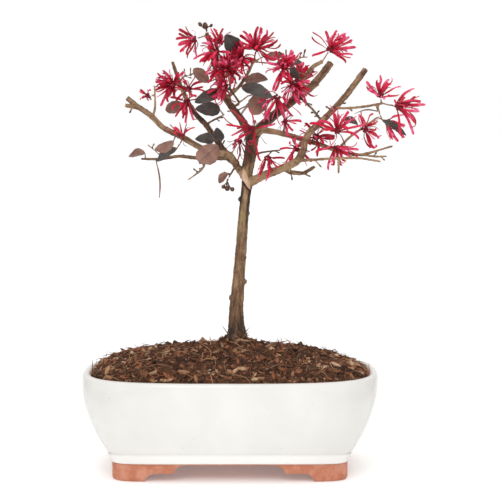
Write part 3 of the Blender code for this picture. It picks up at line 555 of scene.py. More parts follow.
def evaluated_mesh(item: Object) -> Mesh:
    """The plain mesh of an object with its modifiers applied."""
    shown = bpy.context.evaluated_depsgraph_get()
    result = item.evaluated_get(shown)
    return bpy.data.meshes.new_from_object(result, preserve_all_data_layers=True, depsgraph=shown)


def add_object(name: str, mesh: Mesh) -> Object:
    """Puts a mesh in the scene under a name."""
    mesh.name = name
    item = bpy.data.objects.new(name, mesh)
    bpy.context.scene.collection.objects.link(item)
    return item


def grow(name: str, source: Mesh, tree: bpy.types.NodeTree, sizes: dict[str, float]) -> Mesh:
    """Runs a geometry tree over a mesh.

    Args:
        name: A name for the helper object.
        source: The mesh that goes in.
        tree: The geometry tree.
        sizes: Values for its named inputs.

    Returns:
        The plain mesh that comes out.
    """
    item = add_object(f"{name}_source", source)
    step = item.modifiers.new("Grow", "NODES")
    step.node_group = tree
    for label, value in sizes.items():
        step[tree.interface.items_tree[label].identifier] = value
    result = evaluated_mesh(item)
    item.modifiers.clear()
    bpy.data.objects.remove(item)
    bpy.data.meshes.remove(source)
    return result


def paint(mesh: Mesh, name: str, values: list, kind: str = "FLOAT") -> None:
    """Writes one number or vector for each point of a mesh."""
    layer = mesh.attributes.get(name) or mesh.attributes.new(name, kind, "POINT")
    if kind == "FLOAT":
        layer.data.foreach_set("value", values)
    else:
        layer.data.foreach_set("vector", [c for v in values for c in v])


def merged_copy(node: Object) -> bmesh.types.BMesh:
    """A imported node's surface with its doubled points merged, as a new bmesh."""
    shape = bmesh.new()
    shape.from_mesh(node.data)
    bmesh.ops.remove_doubles(shape, verts=shape.verts, dist=WELD)
    shape.verts.index_update()
    shape.faces.index_update()
    return shape


def in_order(parts: set) -> list:
    """Points or faces of a bmesh by their index, so that every run takes them in the same order."""
    return sorted(parts, key=lambda part: part.index)


def plain_mesh(name: str, points: list, faces: list, smooth: bool = True) -> Mesh:
    """A closed mesh from points and faces, turned outwards."""
    mesh = bpy.data.meshes.new(name)
    mesh.from_pydata(points, [], faces)
    shape = bmesh.new()
    shape.from_mesh(mesh)
    bmesh.ops.recalc_face_normals(shape, faces=shape.faces)
    shape.to_mesh(mesh)
    shape.free()
    if smooth:
        mesh.shade_smooth()
    return mesh


def loft_faces(count: int, rows: int, first: int = 0) -> list[tuple[int, ...]]:
    """The quads between rings of equal length."""
    faces = []
    for row in range(rows - 1):
        for i in range(count):
            a, b = first + row * count + i, first + row * count + (i + 1) % count
            faces.append((a, b, b + count, a + count))
    return faces


def closed_loft(count: int, rows: int, first: int = 0) -> list[tuple[int, ...]]:
    """The quads between rings of equal length, and a face over each end."""
    last = first + (rows - 1) * count
    ends = [tuple(range(start, start + count)) for start in (first, last)]
    return loft_faces(count, rows, first) + ends


def point_finder(points: list[Vector]) -> kdtree.KDTree:
    """A finder of the nearest of some points."""
    finder = kdtree.KDTree(len(points))
    for i, point in enumerate(points):
        finder.insert(point, i)
    finder.balance()
    return finder


def widest_pair(points: list[Vector]) -> tuple[Vector, Vector]:
    """The two points that are farthest apart."""
    pairs = [(a, b) for i, a in enumerate(points) for b in points[i + 1:]]
    return max(pairs, key=lambda pair: (pair[0] - pair[1]).length)


def random_vector(draw: random.Random, spread: float) -> Vector:
    """A vector in a random direction, as long as chance has it."""
    return Vector([draw.gauss(0, spread) for _ in range(3)])


def line_mesh(name: str, paths: list[list[Vector]]) -> Mesh:
    """A mesh of bare edges along some paths."""
    points, edges = [], []
    for path in paths:
        first = len(points)
        points += path
        edges += [(first + i, first + i + 1) for i in range(len(path) - 1)]
    mesh = bpy.data.meshes.new(name)
    mesh.from_pydata(points, edges, [])
    return mesh


def hold_in_box(mesh: Mesh, margin: float = BOX_MARGIN) -> None:
    """Moves a mesh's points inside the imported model's box."""
    for point in mesh.vertices:
        point.co = keep_in_box(point.co, margin)


def finish_piece(piece: Object, nodes: list[str]) -> Object:
    """Hands a finished piece to the frame.

    Args:
        piece: The piece's object.
        nodes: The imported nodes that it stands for.

    Returns:
        The same object.
    """
    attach(piece, BODY)
    if nodes:
        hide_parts(*nodes)
    piece.data.calc_loop_triangles()
    log.info("%s: %d triangles", piece.name, len(piece.data.loop_triangles))
    return piece


@dataclass
class Pot:
    """The fired pot: a bulging glazed bowl with a moulded band, on bare clay feet."""

    half_width: float = 101.5
    half_depth: float = 64.0
    base_squareness: float = 9.5
    rim_squareness: float = 3.2
    wall: float = 6.5
    taper: float = 0.64
    foot_z: float = 12.0
    wall_foot_z: float = 19.6
    lip_z: float = 66.0
    foot_inset: float = 21.8
    foot_thickness: float = 11.0
    underside_z: float = 11.2
    floor_z: float = 18.0
    drain_x: float = 38.0
    drain_radius: float = 7.0
    segments: int = 224
    # How far the wall has drawn in at its foot, and how its bulge runs
    bulge: float = 17.8
    bulge_power: float = 1.7
    wall_rows: int = 22
    # The height where the inside starts to round into the floor, and how far it draws in
    corner_z: float = 24.0
    corner_inset: float = 4.0
    inside_levels: tuple = (65.0, 63.0, 60.0, 54.0, 48.0, 40.0, 32.0, 24.0, 21.0, 19.0)
    # Half the reach of the bodies that cut the gaps between the feet
    front_reach: float = 70.0
    side_reach: float = 110.0
    # The wall's outside below its bulge, as (how far in from the rim, height)
    band: tuple = (
        (21.2, 12.0), (20.5, 12.5), (19.9, 14.0), (19.2, 15.7), (18.65, 17.0), (18.55, 17.7), (18.95, 18.5))
    # The lip's section, as (height, how far in)
    lip: tuple = (
        (67.0, 0.35), (67.6, 1.1), (67.95, 2.3), (68.0, 3.4), (67.85, 4.6), (67.2, 5.6), (66.2, 6.3))
    # The cloud cut's half lengths: the arch's end, the step's start and end, and the foot's start
    front_cut: tuple = (29.5, 37.0, 49.5, 56.5)
    side_cut: tuple = (9.5, 14.0, 19.0, 24.0)
    step_z: float = 5.6
    # The feet's rounded edges in metres, and the angles in degrees from which edges stay sharp
    foot_edge: float = 0.0004
    bowl_sharp: float = 38.0
    foot_sharp: float = 50.0

    PLAN_STEPS = 4096
    DRAIN_SIDES = 40

    def wall_inset(self, z: float) -> float:
        """How far the bulging wall has drawn in from the rim at a height."""
        share = min((z - self.wall_foot_z) / (self.lip_z - self.wall_foot_z), 1.0)
        return self.bulge * (1 - share) ** self.bulge_power

    def squareness(self, z: float) -> float:
        """The plan's exponent at a height."""
        share = min(max((z - self.foot_z) / (self.lip_z - self.foot_z), 0.0), 1.0)
        return self.base_squareness + (self.rim_squareness - self.base_squareness) * share

    def inside_wall(self, z: float) -> tuple[float, float]:
        """The inside at a height: the outside's inset there and the thickness up to the inside."""
        corner = self.corner_inset * max(self.corner_z - z, 0.0) / (self.corner_z - self.floor_z)
        return self.wall_inset(max(z, self.corner_z)), self.wall + corner

    def plan_point(self, turn: float, inset: float, z: float, wall: float) -> tuple[float, float]:
        """A point of the plan's rounded square, in millimetres from the pot's centre."""
        power = 2 / self.squareness(z)
        c, s = math.cos(turn), math.sin(turn)
        x = (self.half_width - inset - wall) * math.copysign(abs(c) ** power, c)
        y = (self.half_depth - inset * self.taper - wall) * math.copysign(abs(s) ** power, s)
        return x, y

    def even_turns(self, inset: float, z: float, wall: float) -> list[float]:
        """Angles of the plan's curve that cut it into equal lengths."""
        last, lengths, turns = None, [0.0], []
        for i in range(self.PLAN_STEPS + 1):
            # the angle runs slowly near the flat sides, where the curve runs fast
            part = i / self.PLAN_STEPS * 4
            corner = part % 1.0
            eased = corner**4 / (corner**4 + (1 - corner) ** 4)
            turn = (int(part) + eased) * math.pi / 2
            turns.append(turn)
            now = self.plan_point(turn, inset, z, wall)
            if last is not None:
                lengths.append(lengths[-1] + math.dist(now, last))
            last = now
        picked, at = [], 0
        for k in range(self.segments):
            want = lengths[-1] * k / self.segments
            while lengths[at + 1] < want:
                at += 1
            share = (want - lengths[at]) / max(lengths[at + 1] - lengths[at], 1e-9)
            picked.append(turns[at] + (turns[at + 1] - turns[at]) * share)
        return picked

    def ring(self, inset: float, z: float, wall: float = 0.0) -> list[Vector]:
        """One level ring of the pot in frame metres."""
        return [spot(*self.plan_point(turn, inset, z, wall), z) for turn in self.even_turns(inset, z, wall)]

    def bowl_rows(self) -> list[tuple[float, float, float, float, float]]:
        """The bowl's rings from under the floor to the floor's top: (inset, z, wall, thin, bare).

        Glaze is thin at the band's edges and over the lip, and ends in bare clay inside the pot.
        """
        rows = [(self.foot_inset + 3, self.foot_z, 0.0, 0.0, 1.0)]
        for inset, z in self.band:
            rows.append((inset, z, 0.0, 0.45 if z < 12.3 else 0.12 if z > 17.5 else 0.0, 0.0))
        rise = self.lip_z - self.wall_foot_z
        levels = [self.wall_foot_z + rise * (i / self.wall_rows) for i in range(self.wall_rows + 1)]
        rows += [(self.wall_inset(z), z, 0.0, 0.0, 0.0) for z in levels]
        for z, inset in self.lip:
            rows.append((0.0, z, inset, smooth_step(0.2, 6.0, inset), 0.9 * smooth_step(3.2, 5.8, inset)))
        for z in (*self.inside_levels, self.floor_z):
            inset, wall = self.inside_wall(z)
            rows.append((inset, z, wall, 0.8, 0.9 if z > 62 else 1.0))
        return rows

    @staticmethod
    def plan_tree(finish: Material, sizes: dict[str, float]) -> bpy.types.NodeTree:
        """The geometry tree that turns angles and insets into the pot's rounded-square walls."""
        graph, source, size, end = shape_tree("pot_plan", sizes)
        height, turn = graph.field("height"), graph.field("turn")
        inputs = {"Value": height, "From Min": size["Base Height"], "From Max": size["Lip Height"]}
        inputs |= {"To Min": size["Base Squareness"], "To Max": size["Rim Squareness"]}
        power = graph.math("DIVIDE", 2.0, graph.put("ShaderNodeMapRange", inputs).outputs[0])
        reach = []
        axes = (("COSINE", "Half Width", 1.0), ("SINE", "Half Depth", size["Depth Taper"]))
        for operation, half, share in axes:
            wave = graph.math(operation, turn)
            drawn_in = graph.plus(graph.times(graph.field("inset"), share), graph.field("wall"))
            rounded = graph.math("POWER", graph.math("ABSOLUTE", wave), power)
            rounded = graph.times(rounded, graph.math("SIGN", wave))
            reach.append(graph.times(rounded, graph.math("SUBTRACT", size[half], drawn_in)))
        x = graph.math("SUBTRACT", reach[0], POT_SHIFT * MM)
        place = graph.put("ShaderNodeCombineXYZ", {0: x, 1: reach[1], 2: height}).outputs[0]
        shape = graph.put("GeometryNodeSetPosition", {"Geometry": source, "Position": place}).outputs[0]
        flow = graph.noise(graph.stretch(graph.position(), (1, 1, 3)), 28, 3)
        return end_tree(graph, graph.swell(shape, flow, size["Uneven Glaze"]), finish, end)

    def bowl_mesh(self, finish: Material) -> Mesh:
        """The glazed bowl's closed skin."""
        rows = self.bowl_rows()
        turns = [turn for inset, z, wall, _, _ in rows for turn in self.even_turns(inset, z, wall)]
        values = {"turn": turns}
        scales = {"inset": MM, "height": MM, "wall": MM, "thin": 1.0, "bare": 1.0}
        for (label, scale), numbers in zip(scales.items(), zip(*rows)):
            values[label] = [number * scale for number in numbers for _ in range(self.segments)]
        heights = values["height"]
        points = [(math.cos(t), math.sin(t), z) for t, z in zip(turns, heights)]
        source = plain_mesh("bowl", points, closed_loft(self.segments, len(rows)))
        # painted shade: the pot's ends are painted greyer, as they are in shade: 0 at its middle, 1 at the
        # far left and right
        reaches = [abs(math.cos(t)) ** (2 / self.squareness(z / MM)) for t, z in zip(turns, heights)]
        grey = [(0.2 * smooth_step(0.4, 0.9, u), 0.45 * smooth_step(0.93, 0.998, u)) for u in reaches]
        values["ends"] = [wide + narrow for wide, narrow in grey]
        for name, numbers in values.items():
            paint(source, name, numbers)
        sizes = {"Half Width": self.half_width * MM, "Half Depth": self.half_depth * MM}
        sizes |= {"Depth Taper": self.taper}
        sizes |= {"Base Squareness": self.base_squareness, "Rim Squareness": self.rim_squareness}
        sizes |= {"Base Height": self.foot_z * MM, "Lip Height": self.lip_z * MM, "Uneven Glaze": 0.00022}
        return grow("pot", source, self.plan_tree(finish, sizes), sizes)

    def cloud_outline(self, lengths: tuple[float, float, float, float]) -> list[tuple[float, float]]:
        """The arched gap between two feet, mirrored about its middle."""
        arch_end, step_start, step_end, foot_start = lengths
        half = []
        upper = (arch_end, step_start, self.underside_z, self.step_z)
        lower = (step_end, foot_start, self.step_z, -1.0)
        for first, last, top, bottom in (upper, lower):
            for i in range(9):
                turn = math.pi / 2 * i / 8
                up = top - (top - bottom) * (1 - math.cos(turn))
                half.append((first + (last - first) * math.sin(turn), up))
        return [(-u, v) for u, v in reversed(half)] + half

    def cutters(self) -> list[Object]:
        """The bodies that cut the feet apart and open the drain holes."""
        made = []
        cuts = ((self.front_cut, True, self.front_reach), (self.side_cut, False, self.side_reach))
        for lengths, along_y, reach in cuts:
            outline = self.cloud_outline(lengths)
            points = []
            for along in (-reach, reach):
                points += [spot(u, along, v) if along_y else spot(along, u, v) for u, v in outline]
            faces = closed_loft(len(outline), 2)
            made.append(add_object("cloud_cut", plain_mesh("cloud_cut", points, faces, smooth=False)))
        return made + self.drains()

    def drains(self) -> list[Object]:
        """The two drain holes as round bars."""
        made = []
        radius, count = self.drain_radius, self.DRAIN_SIDES
        turns = [math.tau * i / count for i in range(count)]
        for x in (-self.drain_x, self.drain_x):
            rings = []
            for z in (self.floor_z - 13, self.floor_z + 5):
                rings += [spot(x + radius * math.cos(t), radius * math.sin(t), z) for t in turns]
            faces = closed_loft(count, 2)
            made.append(add_object("drain_cut", plain_mesh("drain_cut", rings, faces, smooth=False)))
        return made

    def feet_mesh(self) -> Mesh:
        """The clay slab under the bowl with the standing ring that the feet are cut from."""
        thick = self.foot_thickness
        # the section from the slab's underside down the foot's inside and up its outside: (z, wall)
        section = [(self.underside_z, thick), (1.0, thick), (0.3, thick - 0.3), (0.0, thick - 1.0)]
        section += [(0.0, 1.2), (0.35, 0.35), (1.2, 0.0), (6.0, 0.0), (11.3, 0.0), (self.foot_z + 0.6, 0.5)]
        points = [p for z, wall in section for p in self.ring(self.foot_inset, z, wall)]
        return plain_mesh("feet", points, closed_loft(self.segments, len(section)))

    def cut(self, item: Object, cutters: list[Object]) -> None:
        """Cuts bodies out of a piece and keeps its finish."""
        for cutter in cutters:
            step = item.modifiers.new("Cut", "BOOLEAN")
            step.operation, step.solver, step.object = "DIFFERENCE", "EXACT", cutter
        result = evaluated_mesh(item)
        item.modifiers.clear()
        for cutter in cutters:
            bpy.data.objects.remove(cutter)
        worn, item.data = item.data, result
        bpy.data.meshes.remove(worn)

    def build(self, glaze: Material, clay: Material) -> list[Object]:
        """Builds the bowl and its feet.

        Args:
            glaze: The bowl's finish.
            clay: The feet's finish.

        Returns:
            The two pieces.
        """
        bowl = add_object("pot_bowl", self.bowl_mesh(glaze))
        self.cut(bowl, self.drains())
        hold_in_box(bowl.data, 0.0)
        bowl.data.set_sharp_from_angle(angle=math.radians(self.bowl_sharp))
        feet = add_object("pot_feet", self.feet_mesh())
        self.cut(feet, self.cutters())
        feet.data.materials.clear()
        feet.data.materials.append(clay)
        sharp = math.radians(self.foot_sharp)
        edge = feet.modifiers.new("Edge", "BEVEL")
        edge.width, edge.segments = self.foot_edge, 2
        edge.limit_method, edge.angle_limit = "ANGLE", sharp
        feet.data = evaluated_mesh(feet)
        feet.modifiers.clear()
        feet.data.shade_smooth()
        feet.data.set_sharp_from_angle(angle=sharp)
        return [finish_piece(bowl, ["pot"]), finish_piece(feet, ["pot"])]


@dataclass
class Soil:
    """The mulch: a mound of humus, with bark chips, coir fibres and grit scattered over it."""

    pot: Pot
    edge_z: float = 66.0
    rise: float = 17.8
    shoulder: float = 2.7
    cone: float = 4.0
    cone_reach: float = 15.0
    trunk_x: float = 4.0
    hole: float = 7.7
    rings: int = 44
    segments: int = 176
    gap: float = 0.6
    hole_floor_z: float = 45.7
    side_levels: tuple = (60.0, 48.0, 34.0, 24.0, 20.4)

    # The litter's kinds: the first seed, then the spacing, density, sizes and tilt of its bits
    LITTER_SIZES = ("Spacing", "Density", "Small", "Large", "Tilt")
    CHIPS = (11, (0.0019, 200000.0, 0.3, 1.9, 0.5))
    FIBRES = (23, (0.0017, 250000.0, 0.3, 1.7, 0.4))
    GRIT = (37, (0.0058, 16000.0, 0.5, 1.9, 0.5))
    CHIP_CORNERS = 7
    FIBRE_TURNS = (0.3, 2.4, 4.5)
    FIBRE_ROWS = 8

    def height(self, x: float, y: float) -> float:
        """Height of the mound in millimetres: a flat-topped dome, a cone at the trunk and clods."""
        power = self.pot.rim_squareness
        reach_x, reach_y = self.pot.half_width - self.pot.wall, self.pot.half_depth - self.pot.wall
        share = min((abs(x / reach_x) ** power + abs(y / reach_y) ** power) ** (1 / power), 1.0)
        dome = self.rise * (1 - share**self.shoulder)
        cone = self.cone * math.exp(-((x - self.trunk_x) ** 2 + y**2) / self.cone_reach**2)
        clods = 0.9 * math.sin(0.31 * x + 1.3) * math.sin(0.37 * y + 0.4)
        clods += 0.6 * math.sin(0.83 * x + 0.27 * y) * math.cos(0.71 * y - 0.2 * x)
        return self.edge_z + dome + cone + clods * (1 - share**6)

    def roughness(self, x: float, y: float, share: float) -> float:
        """What the mulch adds to the mound: lumps, a collar round the trunk and a bank at the left."""
        lumps = noise.fractal(Vector((x, y, 3.7)) * 0.21, 0.7, 2.2, 4) * 2.3 * (1 - share**8)
        lumps += 2.4 * math.exp(-(((math.hypot(x - self.trunk_x, y) - self.hole) / 5.0) ** 2))
        left = smooth_step(-10.0, -85.0, x)
        bank = (1.4 + 2.2 * left) * smooth_step(0.3, 1.0, share)
        return lumps + bank * (1 - (1.0 - 0.45 * left) * share**16)

    def body_mesh(self) -> Mesh:
        """The mound's closed skin, roughened on top."""
        inner = Pot(segments=self.segments)
        rim = inner.ring(inner.wall_inset(self.edge_z), self.edge_z, inner.wall + self.gap)
        middle = spot(self.trunk_x, 0, 0)
        turns = [math.atan2(p.y - middle.y, p.x - middle.x) for p in rim]

        def hole_ring(z: float) -> list[Vector]:
            """A ring of the hole for the trunk."""
            around = [(math.cos(t) * self.hole, math.sin(t) * self.hole, z) for t in turns]
            return [middle + Vector(point) * MM for point in around]

        points = hole_ring(self.hole_floor_z)
        for row in range(self.rings + 1):
            share = row / self.rings
            for a, b in zip(hole_ring(0), rim):
                p = a.lerp(b, share)
                x, y = p.x / MM + POT_SHIFT, p.y / MM
                points.append(spot(x, y, self.height(x, y) + self.roughness(x, y, share)))
        for z in self.side_levels:
            inset, wall = inner.inside_wall(z)
            points += inner.ring(inset, z, wall + self.gap)
        count = self.segments
        mesh = plain_mesh("soil", points, closed_loft(count, len(points) // count))
        paint(mesh, "shade", [0.05 + 0.3 * noise.noise(Vector(p) * 260) for p in points])
        # bits lie on the rings of the mound, so the hole's floor and the sides get none
        top = range(count, count * (self.rings + 2))
        paint(mesh, "top", [1.0 if i in top else 0.0 for i in range(len(points))])
        return mesh

    @staticmethod
    def litter_tree(
        bits: bpy.types.Collection, finish: Material, seed: int, sizes: dict[str, float]
    ) -> bpy.types.NodeTree:
        """The geometry tree that strews bits over the mound, lying on it at random turns.

        Args:
            bits: The shapes to strew.
            finish: Their material.
            seed: What the random draws start from.
            sizes: The tree's named inputs with their values.

        Returns:
            The tree.
        """
        graph, source, size, end = shape_tree(f"litter_{bits.name}", sizes)
        inputs = {"Mesh": source, "Distance Min": size["Spacing"], "Density Max": size["Density"]}
        inputs |= {"Density Factor": graph.field("top"), "Seed": seed}
        strewn = graph.put("GeometryNodeDistributePointsOnFaces", inputs, distribute_method="POISSON")
        inputs = {"Collection": bits, "Separate Children": True, "Reset Children": True}
        shapes = graph.put("GeometryNodeCollectionInfo", inputs)
        tilt = graph.put("ShaderNodeCombineXYZ", {0: size["Tilt"], 1: size["Tilt"], 2: math.pi}).outputs[0]
        inputs = {0: graph.stretch(tilt, (-1, -1, -1)), 1: tilt, "Seed": seed + 1}
        lean = graph.put("FunctionNodeRandomValue", inputs, data_type="FLOAT_VECTOR")
        turn = graph.put("FunctionNodeEulerToRotation", {0: lean.outputs[0]}).outputs[0]
        inputs = {0: strewn.outputs["Rotation"], 1: turn}
        settled = graph.put("FunctionNodeRotateRotation", inputs, rotation_space="LOCAL")
        mostly_small = graph.math("POWER", graph.chance(seed + 2), 3.0)
        inputs = {"Value": mostly_small, "To Min": size["Small"], "To Max": size["Large"]}
        scale = graph.put("ShaderNodeMapRange", inputs).outputs[0]
        inputs = {"Points": strewn.outputs["Points"], "Instance": shapes.outputs[0], "Pick Instance": True}
        inputs |= {"Rotation": settled.outputs[0], "Scale": scale}
        strewn = graph.put("GeometryNodeInstanceOnPoints", inputs).outputs[0]
        drift = graph.noise(graph.position(), 75, 2)
        patchy = graph.times(graph.math("SUBTRACT", drift, 0.52), 1.5)
        tone = graph.plus(graph.times(graph.chance(seed + 3), 0.82), patchy)
        return end_tree(graph, graph.label(strewn, "shade", tone, "INSTANCE"), finish, end)

    def chips(self, draw: random.Random) -> list[Mesh]:
        """Split and broken bark chips, flat and angular."""
        made = []
        for k in range(9):
            length, width, thick = draw.uniform(3.0, 8.0), draw.uniform(1.6, 4.0), draw.uniform(0.5, 1.3)
            outline = []
            for i in range(self.CHIP_CORNERS):
                turn = math.tau * (i + draw.uniform(-0.3, 0.3)) / self.CHIP_CORNERS
                reach = draw.uniform(0.75, 1.1)
                outline.append((math.cos(turn) * length / 2 * reach, math.sin(turn) * width / 2 * reach))
            points = []
            for level, share in ((-thick / 2, 0.82), (0.0, 1.0), (thick / 2, 0.8)):
                bend = draw.uniform(0.02, 0.06)
                for x, y in outline:
                    z = level + bend * x * x + draw.uniform(-0.12, 0.12)
                    points.append(Vector((x * share, y * share, z)) * MM)
            faces = closed_loft(self.CHIP_CORNERS, 3)
            made.append(plain_mesh(f"chip_{k}", points, faces, smooth=False))
        return made

    def fibres(self, draw: random.Random) -> list[Mesh]:
        """Thin curved coir fibres and splinters."""
        made = []
        for k in range(8):
            length, radius = draw.uniform(7.0, 16.0), draw.uniform(0.16, 0.32)
            bow, sway = draw.uniform(0.04, 0.16), draw.uniform(-0.2, 0.2)
            rings = []
            for i in range(self.FIBRE_ROWS):
                share = i / (self.FIBRE_ROWS - 1) - 0.5
                y = bow * length * math.cos(share * 5) + sway * length * share**2
                middle = Vector((share * length, y, 0.5 - 0.9 * share**2))
                size = radius * (1 - 0.9 * (2 * abs(share)) ** 4)
                for turn in self.FIBRE_TURNS:
                    rings.append((middle + Vector((0, math.cos(turn), math.sin(turn))) * size) * MM)
            faces = closed_loft(len(self.FIBRE_TURNS), self.FIBRE_ROWS)
            made.append(plain_mesh(f"fibre_{k}", rings, faces))
        return made

    def stones(self, draw: random.Random) -> list[Mesh]:
        """Small angular grit."""
        made = []
        for k in range(5):
            shape = bmesh.new()
            bmesh.ops.create_icosphere(shape, subdivisions=1, radius=MM)
            for vert in shape.verts:
                vert.co = vert.co * draw.uniform(0.75, 1.2)
                vert.co.z *= 0.7
            mesh = bpy.data.meshes.new(f"grit_{k}")
            shape.to_mesh(mesh)
            shape.free()
            made.append(mesh)
        return made

    def strew(self, name: str, body: Object, shapes: list[Mesh], finish: Material, kind: tuple) -> Object:
        """Strews one kind of bit over the mound.

        Args:
            name: The piece's name.
            body: The mound.
            shapes: The bits' meshes.
            finish: Their material.
            kind: What the random draws start from, and values for the tree's named inputs.

        Returns:
            The piece with all the bits.
        """
        seed, values = kind
        sizes = dict(zip(self.LITTER_SIZES, values))
        bits = bpy.data.collections.new(name)
        for i, mesh in enumerate(shapes):
            bits.objects.link(bpy.data.objects.new(f"{name}_{i}", mesh))
        mesh = grow(name, body.data.copy(), self.litter_tree(bits, finish, seed, sizes), sizes)
        for item in list(bits.objects):
            bpy.data.objects.remove(item)
        bpy.data.collections.remove(bits)
        hold_in_box(mesh)
        return finish_piece(add_object(name, mesh), [])

    def build(self, humus: Material, litter: Material, grit: Material) -> list[Object]:
        """Builds the mound and all that lies on it.

        Args:
            humus: The mound's finish.
            litter: The finish of chips and fibres.
            grit: The finish of the stones.

        Returns:
            The pieces.
        """
        draw = random.Random("mulch")
        body = add_object("soil_mound", self.body_mesh())
        body.data.materials.append(humus)
        pieces = [finish_piece(body, ["soil"])]
        pieces.append(self.strew("soil_chips", body, self.chips(draw), litter, self.CHIPS))
        pieces.append(self.strew("soil_fibres", body, self.fibres(draw), litter, self.FIBRES))
        pieces.append(self.strew("soil_grit", body, self.stones(draw), grit, self.GRIT))
        return pieces


class Bark(Enum):
    """How light and how green a limb's bark is."""

    TRUNK = (0.5, 0.4)
    TAN = (0.72, 0.0)
    OLIVE = (0.7, 0.5)
    BROWN = (0.38, 0.0)
    GREY = (0.5, 0.2)
    TWIG = (0.85, 0.0)


@dataclass(frozen=True)
class Limb:
    """One limb of the tree: its bark, whether its end was cut, and its points of (x, y, z, radius)."""

    bark: Bark
    cut: bool
    points: tuple

    def path(self, step: float) -> list[tuple[Vector, float]]:
        """A smooth curve through the points, cut at about equal steps.

        Args:
            step: The wanted length of a step in millimetres.

        Returns:
            Points in frame metres, each with its radius in metres.
        """
        knots = [Vector(p) for p in self.points]
        knots = [2 * knots[0] - knots[1], *knots, 2 * knots[-1] - knots[-2]]
        path = []
        for a, b, c, d in zip(knots, knots[1:], knots[2:], knots[3:]):
            cuts = max(1, round((c - b).length / step))
            for i in range(cuts):
                t = i / cuts
                bend = (2 * a - 5 * b + 4 * c - d) * t**2 + (3 * b - a - 3 * c + d) * t**3
                now = 0.5 * (2 * b + (c - a) * t + bend)
                path.append((spot(*now.xyz), now.w * MM))
        path.append((spot(*knots[-2].xyz), knots[-2].w * MM))
        return path


